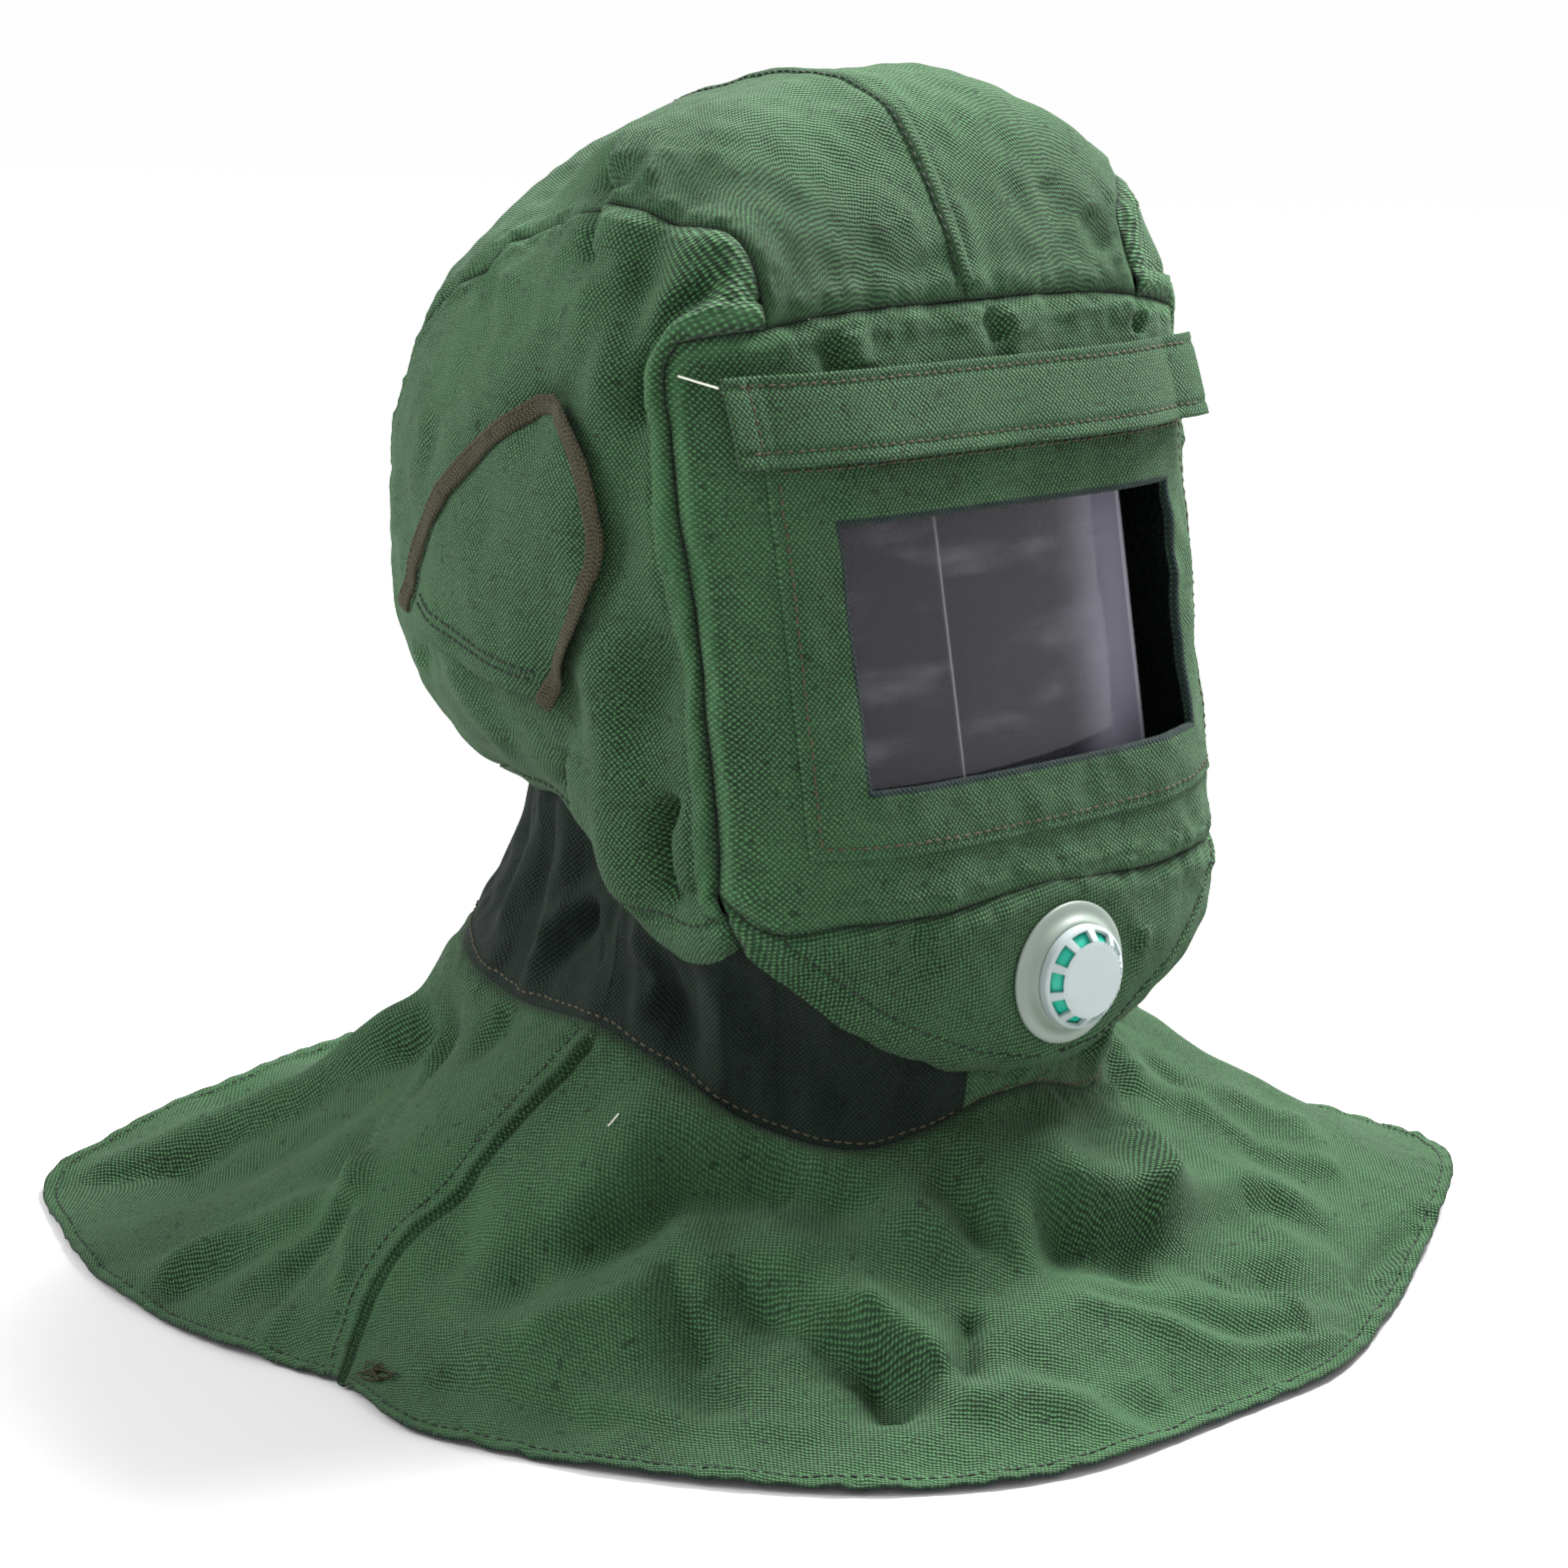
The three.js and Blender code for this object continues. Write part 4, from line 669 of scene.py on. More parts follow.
def plain_material(name, colour, rough, dark=0.85, bump=0.15, grain=400.0, **more):
    sh = Shader(name)
    inside = sh.inside()
    mottle = sh.noise(inside, 60.0, 3.0)
    second = tuple(c * dark for c in colour[:3]) + (1.0,)
    sh.surface(Base_Color=sh.mixed(sh.ramp(mottle, 0.35, 0.7), colour, second),
               Roughness=sh.ramp(mottle, 0.3, 0.7, rough, rough + 0.12),
               Normal=sh.bump(sh.noise(inside, grain, 2.0), bump, 0.0003), **more)
    return sh.material


GREEN = canvas_material("canvas_green", rgb(10, 28, 13), rgb(40, 76, 43), rgb(90, 139, 91), rgb(62, 103, 65),
                        painted_inside_shade=rgb(18, 38, 36))
DARK = canvas_material("collar_dark", rgb(4, 9, 7), rgb(12, 23, 18), rgb(37, 57, 45), rgb(20, 36, 28),
                       bump=0.8, sheen=0.01)
TAPE_MAT = canvas_material("tape_brown", rgb(22, 20, 13), rgb(56, 50, 32), rgb(104, 94, 62), rgb(70, 63, 42),
                           pitch=(0.75, 1.1), herringbone=True)
THREAD_OLIVE = plain_material("thread_olive", rgb(60, 54, 30), 0.7, grain=1500.0)
THREAD_GREEN = plain_material("thread_green", rgb(15, 30, 18), 0.75, grain=1500.0)
THREAD_WHITE = plain_material("thread_white", rgb(222, 222, 210), 0.7, grain=1500.0)
PLASTIC = plain_material("valve_white", rgb(160, 171, 171), 0.34, dark=0.95, bump=0.05,
                         Specular_IOR_Level=0.45)
PLASTIC_RIM = plain_material("valve_grey", rgb(124, 136, 127), 0.38, dark=0.93, bump=0.08)
TEAL = plain_material("valve_teal", rgb(4, 168, 142), 0.42, dark=0.85, bump=0.1)


def lens_material():
    """Clear sheet with a painted reflection, dark grey turning pale violet-grey where it bends away, and a
    painted highlight near its right edge; hazy in smears, with one fine upright line.
    """
    sh = Shader("lens_clear")
    uv, axes = sh.cloth_uv()
    # Painted reflection: dark grey at the left, pale violet-grey towards the right where the sheet bends
    # away.
    across = sh.ramp(axes[0], 0.028, 0.07)
    base = sh.mixed(across, rgb(46, 45, 52), rgb(126, 123, 138))
    # Painted highlight: a pale strip near the right edge.
    base = sh.mixed(sh.ramp(axes[0], 0.0705, 0.0725), base, rgb(176, 174, 186))
    haze = sh.noise(sh.scaled(uv, (18, 60, 1)), 1.0, 4.0)
    base = sh.mixed(sh.ramp(haze, 0.5, 0.8, 0.0, 0.22), base, rgb(150, 150, 160))
    offset = sh.maths("ABSOLUTE", sh.maths("ADD", axes[0], 0.027))
    base = sh.mixed(sh.ramp(offset, 0.0002, 0.0006, 0.35, 0.0), base, rgb(200, 200, 206))
    # The painted reflection also makes the sheet less clear towards the right.
    sh.surface(Base_Color=base, Roughness=sh.ramp(haze, 0.4, 0.75, 0.06, 0.2),
               Alpha=sh.maths("ADD", sh.ramp(haze, 0.4, 0.8, 0.56, 0.62), sh.maths("MULTIPLY", across, 0.2)))
    return sh.material


LENS = lens_material()


def panel(name, rows, node, uv_of, wrap=False, beads=False, centre=False):
    """One panel of the hood, darker with painted shade along its seams and near its rim, and paler on the
    crests beside them.
    """
    grid, normal = hood(rows, beads, centre)
    flat = plain(rows)
    seams, rim = away_from(PANEL_SEAMS, flat), away_from(RIM, flat)
    bead = away_from(FACE_SIDE_SEAM, flat)
    # Painted shade: dark in the seam grooves and near the rim.
    painted_shade = 0.75 * np.exp(-((seams / 1.6) ** 2)) + 0.3 * np.exp(-((rim / 5) ** 2))
    wear = 0.35 * np.exp(-(((bead - 4.4) / 2.6) ** 2)) + 0.22 * np.exp(-(((seams - 4) / 3) ** 2))
    tints = {"painted_shade": np.clip(painted_shade, 0, 1), "wear": np.clip(wear, 0, 1)}
    obj = cloth(name, grid, normal, uv_of(flat), GREEN, wrap, tints=tints)
    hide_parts(node)


def uv_xz(p):
    return np.stack([p[..., 0], p[..., 2]], -1) / 1000


def uv_yz(p):
    return np.stack([p[..., 1], p[..., 2]], -1) / 1000


def uv_chin(p):
    """The chin's weave runs aslant."""
    c, s = math.cos(CHIN_TURN), math.sin(CHIN_TURN)
    x, z = p[..., 0] / 1000, p[..., 2] / 1000
    return np.stack([c * x - s * z, s * x + c * z], -1)


def uv_grid(p):
    """Millimetres along the panel's own rows and columns."""
    u = run_along(p, 1)
    u = u - u[:, -1:]
    v = run_along(p, 0)
    v = np.broadcast_to(v.mean(1, keepdims=True), v.shape)
    return np.stack([u, v], -1) / 1000


crown_rows = between(S["crownSide"], S["crownCentre"], S["faceTop"], S["backRim"])
front_edge = np.concatenate([S["faceCorner"], S["faceSide"][1:], S["jaw"][1:]])
side_rows = between(S["crownSide"][: TOP_STEPS * F + 1], S["sideRim"], front_edge,
                    S["crownSide"][TOP_STEPS * F:])
top_edge = np.concatenate([S["faceCorner"][::-1], S["faceTop"][1:]])
whole_top = np.concatenate([top_edge, (top_edge * MIRROR)[::-1][1:]])
whole_bottom = whole("chinTop")
face_loop = np.concatenate([whole_top[:-1], (S["faceSide"] * MIRROR)[:-1], whole_bottom[::-1][:-1],
                            S["faceSide"][::-1][:-1]])


def window_loop(grow):
    left, right = WINDOW_SHIFT - WINDOW_HALF_WIDTH - grow, WINDOW_SHIFT + WINDOW_HALF_WIDTH + grow
    top, bottom = WINDOW_TOP + grow, WINDOW_BOTTOM - grow
    wide = len(whole_top) - 1
    tall = FACE_STEPS * F
    x = np.concatenate([np.linspace(left, right, wide + 1)[:-1], np.full(tall, right),
                        np.linspace(right, left, wide + 1)[:-1], np.full(tall, left)])
    z = np.concatenate([np.full(wide, top), np.linspace(top, bottom, tall + 1)[:-1],
                        np.full(wide, bottom), np.linspace(bottom, top, tall + 1)[:-1]])
    return face_dir(x, z)


chin_rows = between(whole_bottom, whole("chinRim"), S["jaw"], S["jaw"] * MIRROR)
for which, sign in (("right", 1.0), ("left", -1.0)):
    turn = np.array([sign, 1, 1])
    panel(f"hood_crown_{which}", crown_rows * turn, f"crown_{which}", uv_grid, centre=True)
    panel(f"hood_side_{which}", side_rows * turn, f"side_{which}", uv_yz, beads=True)
CHIN_TURN = 0.72
panel("hood_chin", chin_rows, "chin_panel", uv_chin)

band = [unit(window_loop(g)) for g in (0.0, 0.8, 2, 4, 6, 8, 10, 12, 14, 16, 18, 20, FRAME_BAND)]
FACE_RINGS = 34
rings = [unit(mix(band[-1], face_loop, k / FACE_RINGS)) for k in range(1, FACE_RINGS + 1)]
panel("hood_face", np.stack(band + rings), "face_panel", uv_xz, wrap=True)


# Places along a stitch and its width there, as shares, and how deep it lies.
STITCH = [(0.0, 0.25), (0.12, 0.8), (0.5, 1.0), (0.88, 0.8), (1.0, 0.25)]
STITCH_SINK = 0.1


def lay_stitches(name, lines, material, length, gap, thick, seed=1):
    """Short stitches along lines of (point, outward normal) in millimetres."""
    r = np.random.default_rng(seed)
    verts, quads = [], []
    ring = THREAD_SIDES
    for pts, nrm in lines:
        reach = run_along(pts)
        s = gap
        while s + length < reach[-1]:
            stretch = length * r.uniform(0.85, 1.1)
            base = len(verts)
            side_shift = r.normal(0, 0.08)
            for t, wide in STITCH:
                at_s = s + t * stretch
                p = np.array([np.interp(at_s, reach, pts[:, k]) for k in range(3)])
                q = np.array([np.interp(min(at_s + 0.5, reach[-1]), reach, pts[:, k]) for k in range(3)])
                n = unit(np.array([np.interp(at_s, reach, nrm[:, k]) for k in range(3)]))
                along = unit(q - p) if np.linalg.norm(q - p) > 1e-6 else along
                across = unit(np.cross(n, along))
                lift = math.sin(math.pi * min(max(t, 0.02), 0.98)) * 0.35 - STITCH_SINK
                for m in range(ring):
                    a = 2 * math.pi * m / ring
                    offset = across * (math.cos(a) * thick * 0.6 * wide + side_shift)
                    verts.append(p + offset + n * (lift + math.sin(a) * thick * 0.5 * wide))
            for j in range(len(STITCH) - 1):
                for m in range(ring):
                    a, b = base + j * ring + m, base + j * ring + (m + 1) % ring
                    quads.append((a, b, b + ring, a + ring))
            last = base + (len(STITCH) - 1) * ring
            quads += thread_ends(base, last)
            s += stretch + gap * r.uniform(0.7, 1.4)
    return make_mesh(name, place(np.array(verts)), quads, material)


# The layer round the window, with its turned inner edge and the row of stitches outside.
frame_at = np.array([-0.2, 0.0, 0.5, 1.2, 2.5, 4, 6, 8, 10, 12, 14, 16, 18, 19.5, 20.5, 21.3, FRAME_BAND])
lifts = np.array([-1.2, -0.2, 0.45, 0.75, 0.8, 0.75, 0.7, 0.7, 0.7, 0.7, 0.65, 0.5, 0.1, 0.05, 0.35, 0.3,
                  -0.4])
TURNED_ROWS, STITCH_ROW = 4, 12
fp, fn = hood(np.stack([window_loop(g) for g in frame_at]))
fp = fp + fn * (0.9 + lifts)[:, None, None]
# The turned edge is marked for the dark painted shade of the inside.
turned_edge = (np.arange(len(frame_at)) < TURNED_ROWS).astype(float)[:, None]
frame_obj = cloth("window_band", fp, fn, uv_xz(fp), GREEN, True, wall=1.0, painted_shade_rows=turned_edge)
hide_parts("window_frame")


# The ridge over the crown, on both halves.
def beside(dirs, offsets, side):
    """Points at offsets (mm) to one side of a seam, on the hood."""
    p = plain(dirs)
    along = np.gradient(p, axis=0)
    n = plain_normal(dirs)
    across = unit(np.cross(along, n)) * side
    rows = []
    for off in offsets:
        q = p + across * off
        rows.append(dir_of(q[:, 0], q[:, 1], q[:, 2]))
    return np.stack(rows)


ridge_offsets = np.linspace(-3.6, 3.6, 13)
ridge_dirs = beside(S["crownCentre"][2:-2], ridge_offsets, 1)
rp, rn = hood(ridge_dirs)
ridge_bump = 0.45 + 1.5 * np.exp(-((np.abs(ridge_offsets) / 2.6) ** 4))
rp = rp + rn * ridge_bump[:, None, None]
ridge = cloth("crown_fell", rp, rn, uv_grid(rp), GREEN, wall=0.8)
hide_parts("crown_ridge")

# The clear lens, free at the wearer's left.
lens_left = WINDOW_SHIFT - WINDOW_HALF_WIDTH - LENS_OVERLAP
lens_right = WINDOW_SHIFT + WINDOW_HALF_WIDTH - LENS_RIGHT_INSET
lx, lz = np.meshgrid(np.linspace(lens_left, lens_right, 90),
                     np.linspace(WINDOW_TOP + LENS_OVERLAP, WINDOW_BOTTOM - LENS_OVERLAP, 60))
lens_grid = plain(face_dir(lx, lz))
lens_grid[..., 1] += CANVAS + 1.5 + LENS_SETBACK * smooth(-30, lens_right, lx)
lens_grid[..., 1] += 0.9 * np.sin(lx / 23.0 + 0.4) * smooth(lens_left, lens_right, lx) * np.cos(lz / 60.0)
TO_FRONT = [0, -1.0, 0]
lens = cloth("window_lens", lens_grid, np.broadcast_to(TO_FRONT, lens_grid.shape),
             np.stack([lx, lz], -1) / 1000, LENS, wall=LENS_THICKNESS)
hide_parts("visor_lens")

# The folded flap over the window.
FLAP_COLS, FLAP_ROWS = 190, 26
fu, fv = np.meshgrid(np.linspace(0, 1, FLAP_COLS), np.linspace(0, 1, FLAP_ROWS))
fx = FLAP_SHIFT + (2 * fu - 1) * FLAP_HALF_WIDTH
fz = FLAP_TOP - FLAP_HEIGHT * fv
inner = np.minimum(np.abs(fx), HALF_WIDTH * 0.72) * np.sign(fx)
flap_grid = plain(face_dir(inner, fz))
drop = np.maximum(0, np.abs(fx) - np.abs(inner))
flap_grid[..., 0] = fx
flap_grid[..., 1] += 0.012 * drop * drop - 1.6 - FLAP_STANDOFF * fv
flap_grid[..., 1] -= FLAP_THICKNESS
flap_grid[..., 1] += 0.7 * np.sin(fx / 15.0 + 1.0) * fv ** 2 + 0.45 * np.sin(fx / 6.3) * fv ** 3
FLAP_SEAMS, FLAP_END_HEM = (0.13, 0.84), 9
edge_top, edge_low = (np.exp(-(((fv - at_v) / 0.035) ** 2)) for at_v in FLAP_SEAMS)
flap_grid[..., 1] += 0.75 * edge_top + 0.75 * edge_low
end_hem = np.exp(-(((fx - (FLAP_SHIFT - FLAP_HALF_WIDTH + FLAP_END_HEM)) / 1.0) ** 2))
flap_grid[..., 1] += 0.7 * end_hem
flap = cloth("brow_fold", flap_grid, np.broadcast_to(TO_FRONT, flap_grid.shape),
             np.stack([fx, fz], -1) / 1000, GREEN, wall=FLAP_THICKNESS - 0.3)
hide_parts("brow_flap")

# The ear covers and their bindings.
EAR_BACK = [[60, 230], [47, 250], [26, 274], [-4, 298], [-22, 310]]
EAR_FRONT = [[-25, 212], [-42, 236], [-54, 264], [-53, 287], [-40, 306], [-30, 311]]
EAR_LIFT = {"right": 1.9, "left": 0.45}
EAR_BULGE, TAPE_WIDTH, BINDING_OVERHANG = 5.5, 7.6, 1.8
EAR_STEPS, TAPE_STITCH_ROW = 60, 8
ear_back = respace(line_through(EAR_BACK, 300), EAR_STEPS)
ear_front = respace(line_through(EAR_FRONT, 300), EAR_STEPS)


def on_side(side, y, z, lift):
    d = dir_of(np.full(np.shape(y), side * HALF_WIDTH), y, z)
    p, n = hood(d)
    return p + n * np.asarray(lift)[..., None], n


ear_parts, ears, tapes = {}, {}, {}
for which, side in (("right", -1.0), ("left", 1.0)):
    u = np.linspace(0, 1, 56)[None, :]
    v = np.linspace(0, 1, EAR_STEPS + 1)[:, None]
    ey = mix(ear_back[:, 0][:, None], ear_front[:, 0][:, None], u)
    ez = mix(ear_back[:, 1][:, None], ear_front[:, 1][:, None], u)
    bulge = 4 * u * (1 - u) * (1 - 0.7 * v)
    ruck = 0.55 * np.sin(u * 9.0 + v * 3.0) * (1 - v) * 4 * u * (1 - u)
    hem_dip = 0.6 * np.exp(-(((v - 0.06) / 0.012) ** 2)) * np.ones_like(u)
    lift = EAR_LIFT[which] + TAPE + EAR_BULGE * bulge + ruck - hem_dip
    ep, en = on_side(side, ey, ez, lift)
    ear = cloth(f"ear_flap_{which}", ep, en, np.stack([ey, ez], -1) / 1000, GREEN, wall=1.0)
    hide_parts(f"ear_cover_{which}")
    path = np.concatenate([ear_back, ear_front[::-1]])
    run = unit(np.gradient(path, axis=0))
    run = unit(run + np.roll(run, 1, 0) + np.roll(run, -1, 0))
    offs = np.linspace(-BINDING_OVERHANG, TAPE_WIDTH - BINDING_OVERHANG, 11)
    by = path[None, :, 0] + run[None, :, 1] * offs[:, None]
    bz = path[None, :, 1] - run[None, :, 0] * offs[:, None]
    w = (offs - offs[0]) / (offs[-1] - offs[0])
    rise = EAR_LIFT[which] + TAPE + 1.1 + w * 0.7 + TAPE - 0.9 * (2 * w - 1) ** 6
    rise = rise[:, None] - 0.35 * np.exp(-(((w[:, None] - 0.8) / 0.08) ** 2)) + 0 * by
    bp, bn = on_side(side, by, bz, rise)
    buv = np.stack([np.broadcast_to(run_along(path), by.shape), np.broadcast_to(offs[:, None], by.shape)],
                   -1)
    buv = buv / 1000
    binding = cloth(f"ear_tape_{which}", bp, bn, buv, TAPE_MAT, wall=0.9)
    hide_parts(f"ear_binding_{which}")
    ears[which], tapes[which] = ear, binding
    ear_parts[which] = (ep, en, bp, bn)

# The neckline and the hem, from the back round the wearer's right, in shares.
NECKLINE = [
    (0, 1.0, 1.16), (-0.5, 0.88, 1.14), (-0.93, 0.52, 1.06), (-1.0, 0.15, 0.99), (-1.0, -0.07, 1.0),
    (-0.98, -0.23, 1.0, 1), (-0.88, -0.48, 0.88), (-0.76, -0.65, 0.74), (-0.53, -0.85, 0.65),
    (-0.33, -0.94, 0.7), (-0.12, -0.99, 0.79), (0, -1.0, 0.8),
]
HEM = [
    (0, 0.87, 14), (-0.28, 0.86, 21), (-0.5, 0.835, 17), (-0.7, 0.82, 9), (-0.87, 0.77, 2),
    (-0.95, 0.575, 0), (-1.0, 0.36, 0), (-1.0, 0.17, 0), (-0.983, 0.05, 0), (-0.942, -0.083, 0),
    (-0.917, -0.175, 0, 1), (-0.925, -0.337, 0), (-0.86, -0.5, 0), (-0.72, -0.72, 0),
    (-0.54, -0.9, 0), (-0.325, -1.0, 0), (0, -1.01, 0),
]
HEM_LEFT = [
    (0, -1.01, 0), (0.175, -1.0, 0), (0.404, -0.9, 0), (0.6, -0.79, 5), (0.82, -0.65, 9),
    (0.94, -0.5, 3), (0.965, -0.3, 0), (0.935, -0.2, 0, 1), (0.94, -0.05, 0), (0.98, 0.1, 0),
    (0.99, 0.3, 0), (0.95, 0.575, 0), (0.86, 0.75, 2), (0.68, 0.84, 8), (0.3, 0.87, 12), (0, 0.87, 14),
]


def neck_point(r):
    return (r[0] * NECK_HALF_WIDTH, r[1] * (NECK_FRONT if r[1] < 0 else NECK_BACK), r[2] * NECK_HEIGHT)


def hem_point(r):
    return (r[0] * HEM_HALF, r[1] * HEM_HALF, HEM_HEIGHT + r[2])


def half_loop(rows, where):
    mark = next(i for i, r in enumerate(rows) if len(r) > 3)
    line = line_through([where(r) for r in rows], 3000)
    cut = int(round(3000 * mark / (len(rows) - 1)))
    return np.concatenate([respace(line[:cut + 1], CAPE_BACK_STEPS * CAPE_FINE),
                           respace(line[cut:], CAPE_FRONT_STEPS * CAPE_FINE)[1:]])


neck_right = half_loop(NECKLINE, neck_point)
hem_right = half_loop(HEM, hem_point)
hem_left = half_loop(HEM_LEFT[::-1], hem_point)
neck_loop = np.concatenate([neck_right, (neck_right * MIRROR)[::-1][1:-1]])
hem_loop = np.concatenate([hem_right, hem_left[::-1][1:-1]])
kept = np.arange(LOOP * CAPE_FINE)
shoulder_gap = np.minimum(np.abs(kept - CAPE_BACK_STEPS * CAPE_FINE),
                          np.abs(kept - (LOOP - CAPE_BACK_STEPS) * CAPE_FINE))
kept = kept[(kept % 3 == 0) | (shoulder_gap <= CAPE_FINE / 2)]
neck_loop, hem_loop = neck_loop[kept], hem_loop[kept]
CAPE_COLS = len(kept)


def column(step):
    """The kept column at a step round the loop."""
    return int(np.searchsorted(kept, step * CAPE_FINE))


# Folds of the cape in plan: (out, width, places in shares of the hem's half width).
CAPE_FOLDS = [
    (-14, 22, [(-0.492, 0.258), (-0.571, 0.375), (-0.667, 0.5), (-0.783, 0.604), (-0.858, 0.633)]),
    (-6, 11, [(-0.492, 0.267), (-0.588, 0.237), (-0.675, 0.183), (-0.758, 0.108), (-0.842, 0.05)]),
    (3, 9, [(-0.742, 0.117), (-0.829, 0.237), (-0.967, 0.325)]),
    (4, 8, [(-0.713, 0.129), (-0.804, 0.075), (-0.938, 0.013)]),
    (-3, 6, [(-0.733, 0.083), (-0.829, 0.1), (-0.929, 0.083)]),
    (-6, 15, [(-0.354, 0.45), (-0.458, 0.604), (-0.521, 0.792)]),
    (-10, 13, [(-0.667, -0.267), (-0.592, -0.304), (-0.517, -0.333), (-0.454, -0.35), (-0.35, -0.408),
               (-0.3, -0.483)]),
    (3, 11, [(-0.692, -0.325), (-0.608, -0.429), (-0.492, -0.467), (-0.4, -0.483)]),
    (4, 14, [(-0.767, -0.317), (-0.658, -0.408), (-0.55, -0.458)]),
    (-6, 10, [(-0.554, -0.45), (-0.596, -0.533), (-0.613, -0.6)]),
    (-9, 13, [(-0.487, -0.517), (-0.467, -0.642), (-0.425, -0.704)]),
    (6, 11, [(-0.083, -0.533), (-0.15, -0.592), (-0.254, -0.608), (-0.4, -0.608), (-0.458, -0.608)]),
    (-7, 8, [(-0.15, -0.558), (-0.167, -0.633)]),
    (6, 10, [(-0.371, -0.658), (-0.35, -0.754), (-0.358, -0.825)]),
    (-5, 8, [(-0.275, -0.733), (-0.333, -0.792)]),
    (-8, 13, [(-0.296, -0.613), (-0.229, -0.696), (-0.113, -0.725), (-0.062, -0.671)]),
    (6, 10, [(0.133, -0.508), (0.2, -0.558), (0.171, -0.617), (0.129, -0.688)]),
    (6, 13, [(-0.087, -0.671), (0.075, -0.713), (0.242, -0.721), (0.371, -0.742)]),
    (-6, 12, [(-0.054, -0.717), (0.058, -0.779), (0.217, -0.821)]),
    (4, 10, [(0.067, -0.825), (0.15, -0.883), (0.321, -0.912)]),
    (3, 8, [(-0.342, -0.858), (-0.25, -0.908), (-0.129, -0.921)]),
    (-5, 9, [(-0.467, -0.758), (-0.417, -0.783)]),
    (-7, 16, [(0.467, -0.175), (0.625, -0.258), (0.817, -0.308)]),
    (-6, 15, [(0.458, 0.05), (0.667, 0.083), (0.892, 0.108)]),
    (-12, 22, [(0.467, 0.275), (0.583, 0.4), (0.717, 0.517), (0.854, 0.625)]),
    (-7, 16, [(-0.192, 0.483), (-0.233, 0.667), (-0.25, 0.817)]),
    (-7, 18, [(0.125, 0.492), (0.175, 0.667), (0.208, 0.833)]),
    (4, 14, [(0.325, 0.45), (0.417, 0.625), (0.5, 0.812)]),
]
# Finer creases, for the dressed cape only, and edges of folds as on the hood.
CREASE_GAIN, STEP_GAIN = 1.3, 1.4
CAPE_CREASES = [
    (3.0, 4.5, [(-0.435, 0.339), (-0.478, 0.329), (-0.596, 0.222), (-0.687, 0.132), (-0.749, 0.056),
        (-0.803, -0.009)]),
    (-4.0, 7, [(-0.438, 0.389), (-0.470, 0.349), (-0.489, 0.374)]),
    (-4.5, 9, [(-0.474, 0.346), (-0.547, 0.502), (-0.630, 0.602), (-0.737, 0.671), (-0.874, 0.656)]),
    (2.6, 7, [(-0.691, 0.137), (-0.805, 0.252), (-0.899, 0.281), (-0.978, 0.254)]),
    (-3.0, 7, [(-0.774, 0.153), (-0.866, 0.195), (-0.934, 0.219)]),
    (-2.6, 4.5, [(-0.738, 0.096), (-0.813, 0.091), (-0.909, 0.036), (-0.946, 0.008)]),
    (-3.0, 6, [(-0.458, 0.065), (-0.479, 0.078), (-0.498, 0.088)]),
    (2.6, 6, [(-0.454, 0.106), (-0.441, 0.207), (-0.438, 0.306)]),
    (-3.0, 9, [(-0.659, -0.076), (-0.706, -0.135)]),
    (2.0, 9, [(-0.631, -0.310), (-0.556, -0.348), (-0.498, -0.369), (-0.420, -0.365),
        (-0.363, -0.408)]),
    (-4.0, 5, [(-0.544, -0.429), (-0.561, -0.480), (-0.569, -0.534)]),
    (2.4, 6, [(-0.559, -0.422), (-0.630, -0.404), (-0.708, -0.363)]),
    (3.0, 9, [(-0.472, -0.497), (-0.400, -0.527), (-0.291, -0.561), (-0.206, -0.563),
        (-0.143, -0.544)]),
    (-5.0, 6, [(-0.481, -0.503), (-0.464, -0.570), (-0.444, -0.625)]),
    (-6.0, 6, [(-0.183, -0.570), (-0.167, -0.615)]),
    (-4.0, 5, [(-0.421, -0.718), (-0.440, -0.770)]),
    (-4.0, 4, [(-0.262, -0.725), (-0.319, -0.778)]),
    (4.5, 4.5, [(0.234, -0.456), (0.261, -0.464), (0.145, -0.642), (0.102, -0.705)]),
    (-4.5, 6, [(0.310, -0.396), (0.301, -0.449), (0.188, -0.572)]),
    (2.4, 5, [(0.344, -0.416), (0.280, -0.494)]),
    (-3.0, 10, [(-0.026, -0.685), (0.094, -0.734), (0.263, -0.718)]),
    (-2.6, 9, [(-0.144, -0.691), (-0.033, -0.712), (0.026, -0.753)]),
    (2.0, 3.5, [(0.155, -0.797), (0.165, -0.836), (0.183, -0.890)]),
    (2.4, 5, [(-0.105, -0.787), (-0.048, -0.840), (0.023, -0.910), (0.097, -0.939), (0.227, -0.961)]),
    (-2.0, 5, [(-0.067, -0.789), (0.003, -0.835), (0.075, -0.899), (0.163, -0.930)]),
    (-5.0, 6, [(0.399, -0.842), (0.548, -0.782), (0.641, -0.759)]),
    (2.6, 4, [(0.453, -0.829), (0.554, -0.795)]),
    (2.0, 8, [(-0.296, -0.847), (-0.243, -0.932), (-0.217, -0.973)]),
    (-2.0, 8, [(-0.251, -0.826), (-0.201, -0.909), (-0.158, -0.959)]),
    (2.0, 7, [(0.363, -0.458), (0.499, -0.464), (0.581, -0.521)]),
    (-2.0, 5, [(0.403, -0.404), (0.413, -0.433)]),
    (1.6, 6, [(-0.721, -0.506), (-0.647, -0.624), (-0.565, -0.730)]),
    (-1.6, 6, [(-0.835, -0.322), (-0.794, -0.426), (-0.746, -0.539)]),
    (-2.0, 8, [(0.080, -0.515), (-0.003, -0.552), (-0.086, -0.574)]),
    (2.0, 9, [(0.150, -0.488), (0.029, -0.574), (-0.025, -0.601)]),
    (-2.6, 6, [(-0.129, -0.566), (-0.143, -0.522)]),
    (2.0, 6, [(0.413, -0.490), (0.463, -0.569), (0.565, -0.619)]),
    (4.0, 10, [(-0.45, 0.40), (-0.53, 0.55), (-0.64, 0.68), (-0.78, 0.72)]),
]
